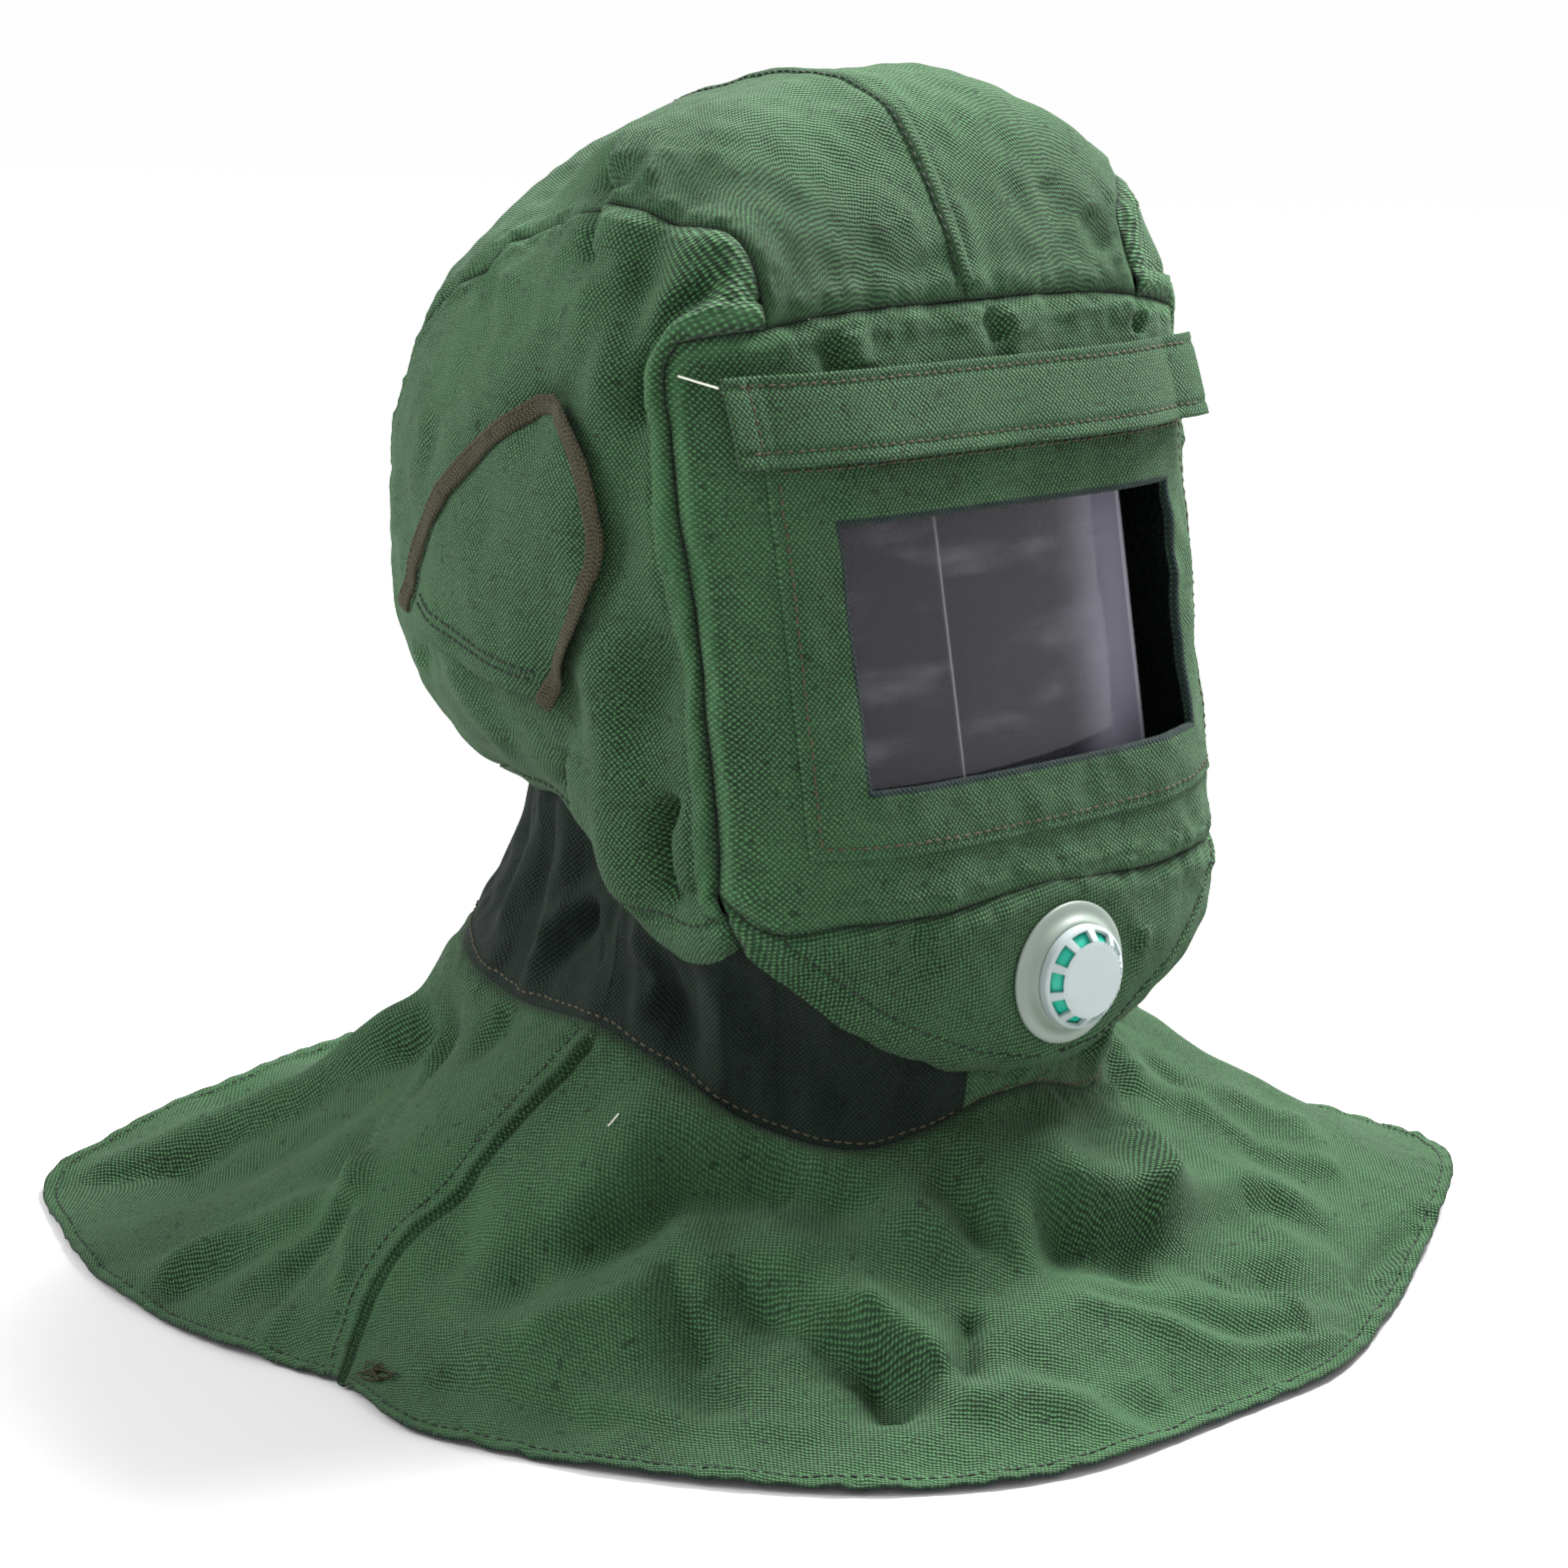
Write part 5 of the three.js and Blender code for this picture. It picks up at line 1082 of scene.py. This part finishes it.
CAPE_STEPS = [
    (5.0, 5, 20, 5.0, [(-0.634, -0.234), (-0.592, -0.256), (-0.518, -0.297), (-0.468, -0.295),
        (-0.412, -0.334), (-0.341, -0.380), (-0.301, -0.426), (-0.302, -0.469)]),
    (4.0, 3.5, 14, 3.0, [(-0.399, -0.609), (-0.389, -0.694), (-0.375, -0.748), (-0.369, -0.790)]),
    (4.5, 6, 20, 4.0, [(-0.147, -0.608), (-0.056, -0.644), (0.021, -0.686), (0.174, -0.697),
        (0.345, -0.664), (0.419, -0.711), (0.516, -0.745)]),
]

share = np.concatenate([np.linspace(0, 0.05, 10)[:-1], np.linspace(0.05, 0.93, 84)[:-1],
                        np.linspace(0.93, 1, 20)])[:, None]
CAPE_LINES = len(share)
top = neck_loop[None]
foot = hem_loop[None]
cape = mix(top, foot, share[..., None])
from_seam = kept[None, :] / CAPE_FINE - CAPE_BACK_STEPS
cape[..., 1] += SEAM_SWAY * np.exp(-((from_seam / SEAM_SWAY_REACH) ** 2)) * np.sin(np.pi * share ** 1.4)
bell = mix(BELL_FRONT, BELL_BACK, smooth(-0.2, 0.5, top[..., 1] / NECK_BACK))
cape[..., 2] = foot[..., 2] + (top[..., 2] - foot[..., 2]) * (1 - share) ** bell
cape_n = true_normals(cape, True)
cape_n *= np.where(cape_n[..., 2:3] < 0, -1, 1)
flat_cape = cape.copy()
flat_cape[..., 2] = 0


def cape_relief(folds):
    total = np.zeros(cape.shape[:2])
    for amount, width, path in folds:
        pts = np.array([(x * HEM_HALF, y * HEM_HALF, 0) for x, y in path])
        total += amount * np.exp(-((distance_to(pts, flat_cape) / width) ** 2))
    return total


cape_out = cape_relief(CAPE_FOLDS)
cape_out *= smooth(0, 0.15, share) * np.where(cape_out < 0, 1 - smooth(0.7, 1, share), 1)
cape_fine = CREASE_GAIN * cape_relief(CAPE_CREASES)
for height, edge, reach, dip, path in CAPE_STEPS:
    rows = line_through([(x * HEM_HALF, y * HEM_HALF, 0) for x, y in path], 14)
    s, fade = beside_path(rows, flat_cape, np.broadcast_to([0, 0, 1.0], rows.shape))
    cape_fine += STEP_GAIN * fade * step_shape(s, height, edge, reach, dip)
cape_fine += 0.9 * ripple(cape, 52, 11) + 0.2 * ripple(cape, 18, 12)
cape_fine *= smooth(0, 0.06, share) * (1 - 0.6 * smooth(0.9, 1, share))
cape_p = cape + cape_n * (cape_out + cape_fine)[..., None]

# Distances over the cape: to its hem, its neckline and its shoulder seams.
from_neck = run_along(cape_p)
to_hem = from_neck[-1:] - from_neck
RIGHT_COL, LEFT_COL = column(CAPE_BACK_STEPS), column(LOOP - CAPE_BACK_STEPS)
round_step = np.linalg.norm(np.roll(cape_p, -1, 1) - cape_p, axis=-1)


def from_column(col):
    rolled = np.roll(round_step, -col, 1)
    ahead = np.concatenate([np.zeros((CAPE_LINES, 1)), np.cumsum(rolled, 1)[:, :-1]], 1)
    behind = ahead - rolled.sum(1, keepdims=True)
    return np.roll(np.where(ahead < -behind, ahead, behind), col, 1)


right_seam, left_seam = from_column(RIGHT_COL), -from_column(LEFT_COL)
fell = np.zeros(cape.shape[:2])
for away in (right_seam, left_seam):
    fell += 1.5 * smooth(-8.6, -7.4, away) * (1 - smooth(-0.9, 1.0, away))
    fell += 0.6 * np.exp(-(((away + 1.5) / 1.6) ** 2))
    fell -= 0.9 * np.exp(-(((away - 1.6) / 1.2) ** 2)) + 0.45 * np.exp(-(((away + 6.6) / 0.7) ** 2))
fell += 0.8 * (1 - smooth(5.2, 6.2, to_hem)) - 0.5 * np.exp(-(((to_hem - 4.6) / 0.6) ** 2))
fell *= smooth(1, 9, from_neck)
fell -= 0.4 * np.exp(-((from_neck / 1.6) ** 2))
seam_near = np.minimum(np.abs(right_seam), np.abs(left_seam))
fell += 0.22 * ripple(cape_p, 11, 13) * np.exp(-(((seam_near - 4) / 7) ** 2))
fell += 0.5 * ripple(cape_p, 9, 14) * np.exp(-((from_neck / 12) ** 2)) * smooth(1, 4, from_neck)
fell += 0.35 * ripple(cape_p, 9, 15) * np.exp(-((to_hem / 9) ** 2))
cape_p = cape_p + cape_n * fell[..., None]
cape_p[..., 2] = np.maximum(cape_p[..., 2], HEM_HEIGHT - 0.6)
run_out = unit((foot - top)[..., :2])
cape_uv = (top[..., :2] + run_out * run_along(cape)[..., None]) / 1000
# Painted shade on the cape: darker at the neckline under the collar and hood, at the hem's very edge and in
# the shoulder seams.
cape_painted_shade = 0.7 * np.exp(-((from_neck / 3) ** 2)) + 0.3 * np.exp(-((from_neck / 60) ** 2))
cape_painted_shade = cape_painted_shade + 0.6 * np.exp(-((to_hem / 1.2) ** 2))
cape_painted_shade += 0.5 * np.exp(-(((seam_near - 1.5) / 1.0) ** 2))
cape_painted_shade = np.clip(cape_painted_shade, 0, 1)
cape_wear = 0.35 * np.exp(-(((to_hem - 4) / 3.5) ** 2)) + 0.3 * np.exp(-(((right_seam + 1.5) / 2) ** 2))
cape_wear = np.clip(cape_wear, 0, 1)
for name, first, last, node in (("cape_breast", RIGHT_COL, LEFT_COL, "cape_front"),
                                ("cape_rear", LEFT_COL, CAPE_COLS + RIGHT_COL, "cape_back")):
    cols = np.arange(first, last + 1) % CAPE_COLS
    obj = cloth(name, cape_p[:, cols], cape_n[:, cols], cape_uv[:, cols], GREEN,
                tints={"painted_shade": cape_painted_shade[:, cols], "wear": cape_wear[:, cols]})
    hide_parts(node)

# The collar: inside the hood's rim, pinched, and down to the neckline.
COLLAR_TUCK, COLLAR_CLEAR, COLLAR_PINCH, COLLAR_PLEAT, PLEATS = 0.1, 2.5, 6.0, 3.0, 13
rim_half = np.concatenate([S["backRim"][::-1], S["sideRim"][::-1][1:]])
rim_right = np.concatenate([rim_half, S["chinRim"][1:]])
rim_loop = np.concatenate([rim_right, (rim_right * MIRROR)[::-1][1:-1]])
rim_points = plain(rim_loop)
rim_turn = np.unwrap(np.arctan2(rim_points[:, 0], rim_points[:, 1]))
foot_turn = np.unwrap(np.arctan2(neck_loop[:, 0], neck_loop[:, 1]))
order = np.argsort(rim_turn)
span = np.concatenate([rim_turn[order] - 2 * np.pi, rim_turn[order], rim_turn[order] + 2 * np.pi])
rim_over = unit(np.stack([np.interp(foot_turn, span, np.tile(rim_loop[order, k], 3)) for k in range(3)], -1))
higher = rim_over.copy()
higher[:, 2] += COLLAR_TUCK
collar_top = hood_cad(unit(higher))
collar_rim = hood_cad(rim_over)
tops = collar_top[0] - collar_top[1] * (CANVAS * 2 + COLLAR_CLEAR)
rims = collar_rim[0] - collar_rim[1] * (CANVAS * 2 + COLLAR_CLEAR)
outward = unit(neck_loop * np.array([1, 1, 0.0]))
# The collar's own folds, in millimetres: (out, width, path).
COLLAR_FOLDS = [
    (-4.0, 8, [(-90.1, 26.2, 148.1), (-97.3, 25.4, 122.7), (-102.8, 30.4, 106.6)]),
    (4.5, 5, [(-90.5, -9.0, 139.7), (-96.1, 7.4, 122.5), (-106.1, 14.7, 99.3)]),
    (-5.0, 5, [(-92.7, -8.3, 127.7), (-100.6, 5.0, 110.1), (-104.0, 7.2, 103.2)]),
    (2.0, 6, [(-79.3, 60.1, 129.4), (-93.3, 60.8, 110.2)]),
    (-5.0, 7, [(-96.2, -46.9, 114.9), (-91.8, -60.0, 101.0), (-90.9, -65.9, 89.9)]),
    (3.0, 5, [(-97.8, -43.1, 129.5), (-95.6, -48.5, 119.1), (-97.3, -44.9, 106.8)]),
    (-4.0, 6, [(-101.4, -95.0, 134.8), (-93.4, -92.1, 120.5), (-85.1, -90.1, 104.5)]),
    (2.5, 6, [(-98.3, -77.0, 125.4), (-93.6, -81.6, 110.0), (-87.2, -83.1, 96.5)]),
    (-5.0, 7, [(-76.9, -109.3, 107.7), (-70.8, -103.6, 91.4), (-62.2, -106.8, 77.7)]),
    (-3.0, 6, [(-58.1, -115.8, 93.2), (-53.4, -111.4, 81.2)]),
    (2.0, 6, [(-82.3, -100.4, 111.0), (-75.9, -96.7, 96.2), (-70.9, -95.8, 79.4)]),
    (2.0, 6, [(-41.5, -115.5, 86.1), (-37.3, -115.5, 72.4)]),
    (-1.2, 1.6, [(-93.3, -16.2, 127.8), (-97.2, -20.7, 117.0), (-102.7, -9.8, 104.6),
                 (-105.1, -5.8, 100.5)]),
    (3.0, 4, [(58.0, -108.0, 92.0), (52.4, -111.6, 78.0)]),
]
kk = kept / CAPE_FINE
FRONT_CENTRE = CAPE_BACK_STEPS + CAPE_FRONT_STEPS
pinched = smooth(GUSSET_RIGHT, GUSSET_RIGHT + 3, np.abs(kk - FRONT_CENTRE))
pleat = COLLAR_PLEAT * np.cos(PLEATS * 2 * np.pi * kk / LOOP)
COLLAR_ROWS = 52
down_share = np.linspace(0, 1, COLLAR_ROWS)
rows = [tops, mix(tops, rims, 0.5)]
for t in down_share:
    row = mix(rims, neck_loop, t)
    row = row + outward * ((pleat - COLLAR_PINCH) * pinched * math.sin(math.pi * t))[:, None]
    rows.append(row)
# The seam's turning, inside the cape, so that no light shows between collar and cape.
NECK_ROW = len(rows) - 1
for inside, under in ((0.6, 1.0), (1.5, 2.6), (2.2, 5.0)):
    rows.append(neck_loop - outward * inside - np.array([0, 0, under]))
collar = np.stack(rows)
collar_n = np.broadcast_to(outward[None], collar.shape)
collar_down = np.concatenate([[0, 0], down_share, [1, 1, 1]])[:, None]
gathered = np.sin(np.pi * np.clip(collar_down, 0, 1)) ** 0.6
gather_run = np.stack([collar[..., 0] * 1.6, collar[..., 1] * 1.6, collar[..., 2] * 0.45], -1)
collar_out = (0.9 * ripple(gather_run, 24, 21) + 0.35 * ripple(gather_run, 11, 22)) * gathered
pucker = np.sin(2 * np.pi * (0.48 * kk + 0.22 * np.sin(0.7 * kk)))[None, :]
collar_out += 1.9 * np.sign(pucker) * np.abs(pucker) ** 0.7 * gathered * pinched[None, :]
for amount, width, path in COLLAR_FOLDS:
    line = line_through(path, 10)
    collar_out += amount * np.exp(-((distance_to(line, collar) / width) ** 2)) * gathered
collar = collar + outward[None] * collar_out[..., None]
collar_uv = np.stack([np.broadcast_to(run_along(neck_loop), collar.shape[:2]), collar[..., 2]], -1) / 1000
BIB_FIRST, BIB_LAST = column(FRONT_CENTRE - GUSSET_RIGHT), column(FRONT_CENTRE + GUSSET_LEFT)
for name, first, last, node, mat, slot in (
        ("neck_gather", BIB_LAST, CAPE_COLS + BIB_FIRST, "neck_collar", DARK, "collar_cloth"),
        ("neck_bib", BIB_FIRST, BIB_LAST, "front_gusset", GREEN, "canvas")):
    cols = np.arange(first, last + 1) % CAPE_COLS
    obj = cloth(name, collar[:, cols], collar_n[:, cols], collar_uv[:, cols], mat)
    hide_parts(node)


# The valve, turned about its axis along -y.
def turned(profile, segments):
    prof = np.array(profile, float)
    a = np.linspace(0, 2 * np.pi, segments, endpoint=False)
    x = VALVE_X + prof[:, 0:1] * np.cos(a)
    z = VALVE_Z + prof[:, 0:1] * np.sin(a)
    y = np.broadcast_to(VALVE_SEAT - prof[:, 1:2], x.shape)
    return np.stack([x, y, z], -1)


def lathe(name, profile, segments, material):
    grid = turned(profile, segments)
    rows = len(profile)
    quads = grid_quads(rows, segments, True)
    obj = make_mesh(name, place(grid.reshape(-1, 3)), quads, material)
    weld(obj, 1e-6)
    return obj


bezel = [(VALVE_FLANGE_RADIUS - 0.5, 0.3), (VALVE_FLANGE_RADIUS, 0.6), (VALVE_FLANGE_RADIUS, 1.2),
         (VALVE_FLANGE_RADIUS - 0.5, 1.7), (22.5, 1.75), (21.4, 1.9), (20.4, 2.4), (19.7, 3.2), (19.0, 4.2),
         (18.4, 4.9), (17.8, 5.2), (14.9, 5.2), (0.01, 5.2)]
flange = lathe("valve_rim", bezel, 120, PLASTIC_RIM)
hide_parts("valve_flange")

# The cap: a moulded shell with ten open slots between its ribs.
SLOTS, SLOT_CELLS, SLOT_OPEN = 10, 24, 17
CAP_OUT = [(0.02, 12.5), (6, 12.5), (11.4, 12.5), (12.2, 12.45), (12.7, 12.3), (13.2, 12.2), (13.5, 12.1),
           (14.15, 11.5), (14.8, 10.9), (15.45, 10.3), (16.1, 9.7), (16.6, 9.2), (17.2, 8.8), (17.6, 8.5),
           (17.8, 8.1), (17.8, 6.8), (17.8, 5.6)]
CAP_IN = [(0.02, 11.2), (6, 11.2), (11.2, 11.2), (11.8, 11.15), (12.1, 11.1), (12.4, 11.05), (12.6, 11.0),
          (13.2, 10.5), (13.85, 9.9), (14.5, 9.3), (15.2, 8.7), (15.7, 8.3), (16.1, 8.0), (16.6, 7.7),
          (16.9, 7.4), (17.0, 6.6), (17.0, 5.6)]
FIRST_OPEN, LAST_OPEN = 5, 11
cap_cols = SLOTS * SLOT_CELLS
cap_rings = len(CAP_OUT)
cap_shell = cap_rings * cap_cols
cap_out, cap_in = turned(CAP_OUT, cap_cols), turned(CAP_IN, cap_cols)
cap_turn = np.linspace(0, 2 * np.pi, cap_cols, endpoint=False)
teeth = smooth(0.0, 0.6, np.cos(cap_turn * 44)) * smooth(0.35, 0.6, np.cos(cap_turn - 0.1))
cap_out[5:7, :, 1] -= 0.55 * teeth
cap_cell = (np.arange(cap_cols) + SLOT_CELLS // 2) % SLOT_CELLS
shut = np.ones((cap_rings - 1, cap_cols), bool)
shut[FIRST_OPEN:LAST_OPEN] = cap_cell[None, :] >= SLOT_OPEN
cap_quads = []
for j, i in np.argwhere(shut):
    k = (i + 1) % cap_cols
    a, b = j * cap_cols + i, j * cap_cols + k
    c, d = b + cap_cols, a + cap_cols
    cap_quads += [(a, b, c, d), (d + cap_shell, c + cap_shell, b + cap_shell, a + cap_shell)]
    below_open = j == cap_rings - 2 or not shut[j + 1, i]
    above_open = j > 0 and not shut[j - 1, i]
    for open_side, p, q in ((below_open, d, c), (above_open, b, a), (not shut[j, k], c, b),
                            (not shut[j, i - 1], a, d)):
        if open_side:
            cap_quads.append((p, q, q + cap_shell, p + cap_shell))
cap_verts = np.concatenate([cap_out.reshape(-1, 3), cap_in.reshape(-1, 3)])
cap = make_mesh("valve_shell", place(cap_verts), cap_quads, PLASTIC)
weld(cap, 2e-5)
cap.data.set_sharp_from_angle(angle=math.radians(35))
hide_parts("valve_cap")
dome = [(15.6, 5.5), (15.6, 7.4), (14.6, 8.7), (12.9, 10.2), (11.6, 10.8), (0.01, 10.8)]
disc = lathe("valve_disc", dome, 90, TEAL)
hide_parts("valve_diaphragm")


# Stitching. A line is (points, outward normals), in millimetres.
def over(dirs, lift):
    """A line over the dressed hood."""
    p, n = hood(dirs)
    return p + n * lift, n


def cut(grid, normals, where, lift):
    """A line along part of a grid."""
    return grid[where] + normals[where] * lift, normals[where]


def facing(grid, guide, wrap=False):
    """The grid's normals, on the guide's side."""
    n = true_normals(grid, wrap)
    return n * np.where((n * guide).sum(-1, keepdims=True) < 0, -1, 1)


def near_point(grid, normals, field, level, axis, keep=None):
    """The places where a field over a grid comes nearest a level, one for each row or column."""
    gap = np.abs(field - level)
    if keep is not None:
        gap = np.where(keep, gap, FAR)
    pick = gap.argmin(axis)
    other = np.arange(grid.shape[1 - axis])
    idx = (pick, other) if axis == 0 else (other, pick)
    good = gap[idx] < 3
    p = (grid[idx] + normals[idx] * ON_CLOTH)[good]
    n = normals[idx][good]
    kernel = np.ones(5) / 5
    if len(p) > 8:
        pad = np.concatenate([p[:1].repeat(2, 0), p, p[-1:].repeat(2, 0)])
        p = np.stack([np.convolve(pad[:, k], kernel, "valid") for k in range(3)], 1)
    return p, n


ON_CLOTH = 0.1   # how far a stitch line stands off the cloth, where no other lift is named
frame_row = [np.concatenate([line, line[:1]]) for line in cut(fp, fn, STITCH_ROW, 0.05)]
lay_stitches("stitches_window", [frame_row], THREAD_OLIVE, 2.9, 1.1, 0.85)

flap_n = true_normals(flap_grid)
flap_n *= np.where(flap_n[..., 1:2] > 0, -1, 1)
inner_cols = slice(4, FLAP_COLS - 4)
flap_rows = [int(round((FLAP_ROWS - 1) * s)) for s in FLAP_SEAMS]
flap_lines = [cut(flap_grid, flap_n, (r, inner_cols), ON_CLOTH) for r in flap_rows]
hem_col = int(round((FLAP_COLS - 1) * FLAP_END_HEM / (2 * FLAP_HALF_WIDTH)))
flap_lines.append(cut(flap_grid, flap_n, (slice(2, -2), hem_col), ON_CLOTH))
lay_stitches("stitches_flap", flap_lines, THREAD_OLIVE, 2.7, 1.0, 0.8, seed=2)

RIDGE_STITCH, RIM_STITCH, SHOULDER_STITCH, HEM_STITCH = 3.0, 10.2, -6.6, 4.6


def beside_towards(dirs, offset, axis, sign):
    """The one of the two lines beside a seam that lies further along an axis."""
    both = [beside(dirs, [offset], side)[0] for side in (1, -1)]
    return max(both, key=lambda line: sign * plain(line)[:, axis].mean())


ridge_line = beside_towards(S["crownCentre"][3:-3], RIDGE_STITCH, 0, -1)
lay_stitches("stitches_crown", [over(ridge_line, 1.0)], THREAD_GREEN, 2.8, 1.0,
                                 0.75, seed=3)

casing_lines = []
for rim_name, flip in (("chinRim", 1), ("chinRim", -1), ("sideRim", 1), ("sideRim", -1)):
    dirs = S[rim_name] * np.array([flip, 1, 1])
    casing_lines.append(over(beside_towards(dirs[1:-1], RIM_STITCH, 2, 1), 0.15))
lay_stitches("stitches_rim", casing_lines, THREAD_GREEN, 2.8, 1.1, 0.75, seed=4)

ear_lines, tape_lines = [], []
for which in ("right", "left"):
    ep, en, bp, bn = ear_parts[which]
    for v_at in (0.06, 0.1):
        ear_lines.append(cut(ep, en, (int(round(EAR_STEPS * v_at)), slice(4, -4)), 0.35))
    tape_lines.append(cut(bp, bn, (TAPE_STITCH_ROW, slice(2, -2)), 0.2))
lay_stitches("stitches_ears", ear_lines, THREAD_GREEN, 2.6, 1.0, 0.75, seed=5)
lay_stitches("stitches_tapes", tape_lines, THREAD_OLIVE, 2.2, 0.9, 0.42,
                                 seed=6)

cape_top_n = facing(cape_p, cape_n, True)
inside_cape = (to_hem > 7) & (from_neck > 2)
shoulder_lines = [near_point(cape_p, cape_top_n, field, SHOULDER_STITCH, 1, inside_cape)
                  for field in (right_seam, left_seam)]
lay_stitches("stitches_shoulders", shoulder_lines, THREAD_GREEN, 2.8, 1.1,
                                     0.75, seed=7)
hem_line = near_point(cape_p, cape_top_n, to_hem, HEM_STITCH, 0)
lay_stitches("stitches_hem", [hem_line], THREAD_GREEN, 2.8, 1.1, 0.75, seed=8)

collar_true = facing(collar, collar_n, True)
green_cols = np.arange(BIB_FIRST + 3, BIB_LAST - 3)
dark_cols = np.arange(BIB_LAST + 3, CAPE_COLS + BIB_FIRST - 3) % CAPE_COLS
neck_lines = [cut(collar, collar_true, (NECK_ROW - 2, c), ON_CLOTH) for c in (green_cols, dark_cols)]
lay_stitches("stitches_neck", neck_lines, THREAD_OLIVE, 2.6, 1.0, 0.8, seed=9)


def loose_thread(name, points, material, thick):
    """A short end of thread lying on the cloth."""
    line = line_through(points, 10 * len(points))
    along = unit(np.gradient(line, axis=0))
    up = unit(np.cross(along, [0.3, 0.2, 1.0]))
    across = unit(np.cross(along, up))
    turns = np.linspace(0, 2 * np.pi, THREAD_SIDES, endpoint=False)
    ring = [up * math.cos(a) + across * math.sin(a) for a in turns]
    rows = len(line)
    verts = np.stack([line + r * thick / 2 for r in ring], 1).reshape(-1, 3)
    quads = [tuple(q) for q in grid_quads(rows, THREAD_SIDES, True)]
    quads += thread_ends(0, (rows - 1) * THREAD_SIDES)
    return make_mesh(name, place(verts), quads, material)


def on_cape(x, y, lift):
    """The cape's top at a place in plan, in millimetres."""
    flat = np.hypot(cape_p[..., 0] - x, cape_p[..., 1] - y)
    j, i = np.unravel_index(flat.argmin(), flat.shape)
    return cape_p[j, i] + cape_top_n[j, i] * lift


white_path = [over(face_dir(x, z)[None], lift)[0][0]
              for x, z, lift in ((-107.0, 324.0, 1.0), (-103.0, 322.0, 4.2), (-99.0, 320.0, 5.4))]
white = loose_thread("thread_end_white", white_path, THREAD_WHITE, 0.8)
lint = loose_thread("thread_end_lint", [on_cape(-121.5, -56.4, 0.6), on_cape(-120.5, -57.2, 1.3),
                                        on_cape(-118.0, -57.6, 0.6)], THREAD_WHITE, 0.5)
TANGLE_X, TANGLE_Y, TANGLE_HALF_WIDTH, TANGLE_HALF_LENGTH, TANGLE_TURNS = -211, -52, 3.5, 9, 16
r = np.random.default_rng(31)
tangle = [on_cape(TANGLE_X + r.uniform(-TANGLE_HALF_WIDTH, TANGLE_HALF_WIDTH),
                  TANGLE_Y + r.uniform(-TANGLE_HALF_LENGTH, TANGLE_HALF_LENGTH), r.uniform(0.4, 1.6))
          for _ in range(TANGLE_TURNS)]
mess = loose_thread("thread_end_brown", tangle, TAPE_MAT, 0.6)

bpy.context.view_layer.update()

# Stage: floor, light and camera.
FLOOR_Z, FLOOR_SIZE, FLOOR_CLEAR = place([0, 0, 0])[2], 60, 0.0004
FLOOR_DARK_TO, FLOOR_PALE_FROM = 0.5, 2.6
bpy.ops.mesh.primitive_plane_add(size=1)
floor = bpy.context.object
floor.name = "floor"
floor.scale = (FLOOR_SIZE, FLOOR_SIZE, 1)
floor.location = (0, 0, FLOOR_Z - FLOOR_CLEAR)
stage = Shader("floor")
far = stage.add("VectorMath")
far.operation = "LENGTH"
stage.link(stage.add("NewGeometry").outputs["Position"], far.inputs[0])
# Painted light on the floor: grey near the hood, to send less light back up under it, and paler further off,
# where the lamps' light falls away, so that it reads white.
pale = stage.ramp(far.outputs["Value"], FLOOR_DARK_TO, FLOOR_PALE_FROM)
near_grey, far_grey = (0.58, 0.58, 0.58, 1.0), (0.985, 0.985, 0.985, 1.0)
stage.surface(Base_Color=stage.mixed(pale, near_grey, far_grey), Roughness=1.0,
              Specular_IOR_Level=0.0)
floor.data.materials.append(stage.material)

world = bpy.data.worlds.new("studio")
world.use_nodes = True
world.node_tree.nodes["Background"].inputs[0].default_value = (1, 1, 1, 1)
world.node_tree.nodes["Background"].inputs[1].default_value = 1.0
bpy.context.scene.world = world


def area_light(name, where, size, power):
    data = bpy.data.lights.new(name, "AREA")
    data.shape = "RECTANGLE"
    data.size = data.size_y = size
    data.energy = power
    obj = bpy.data.objects.new(name, data)
    obj.location = where
    obj.rotation_euler = (Vector((0, 0, -0.2)) - Vector(where)).to_track_quat("-Z", "Y").to_euler()
    bpy.context.collection.objects.link(obj)


area_light("key", (1.15, 0.05, 1.4), 0.8, 140)
area_light("left", (-1.4, 0.9, 0.9), 1.0, 34)

YAW, PITCH, DIST = math.radians(-39), math.radians(14), 1218.0
TARGET = np.array([0, 0, 160.0])
FOCAL, PHOTO_WIDTH, SENSOR = 3350.0, 1569.0, 36
back = np.array([math.sin(YAW) * math.cos(PITCH), -math.cos(YAW) * math.cos(PITCH), math.sin(PITCH)])
cam_data = bpy.data.cameras.new("camera")
cam_data.sensor_width = SENSOR
cam_data.sensor_fit = "HORIZONTAL"
cam_data.lens = FOCAL / PHOTO_WIDTH * SENSOR
cam_data.clip_start = 0.05
cam = bpy.data.objects.new("camera", cam_data)
bpy.context.collection.objects.link(cam)
cam.location = place(TARGET + DIST * back)
cam.rotation_euler = Vector(back).to_track_quat("Z", "Y").to_euler()
bpy.context.scene.camera = cam
bpy.context.scene.view_settings.view_transform = "Standard"
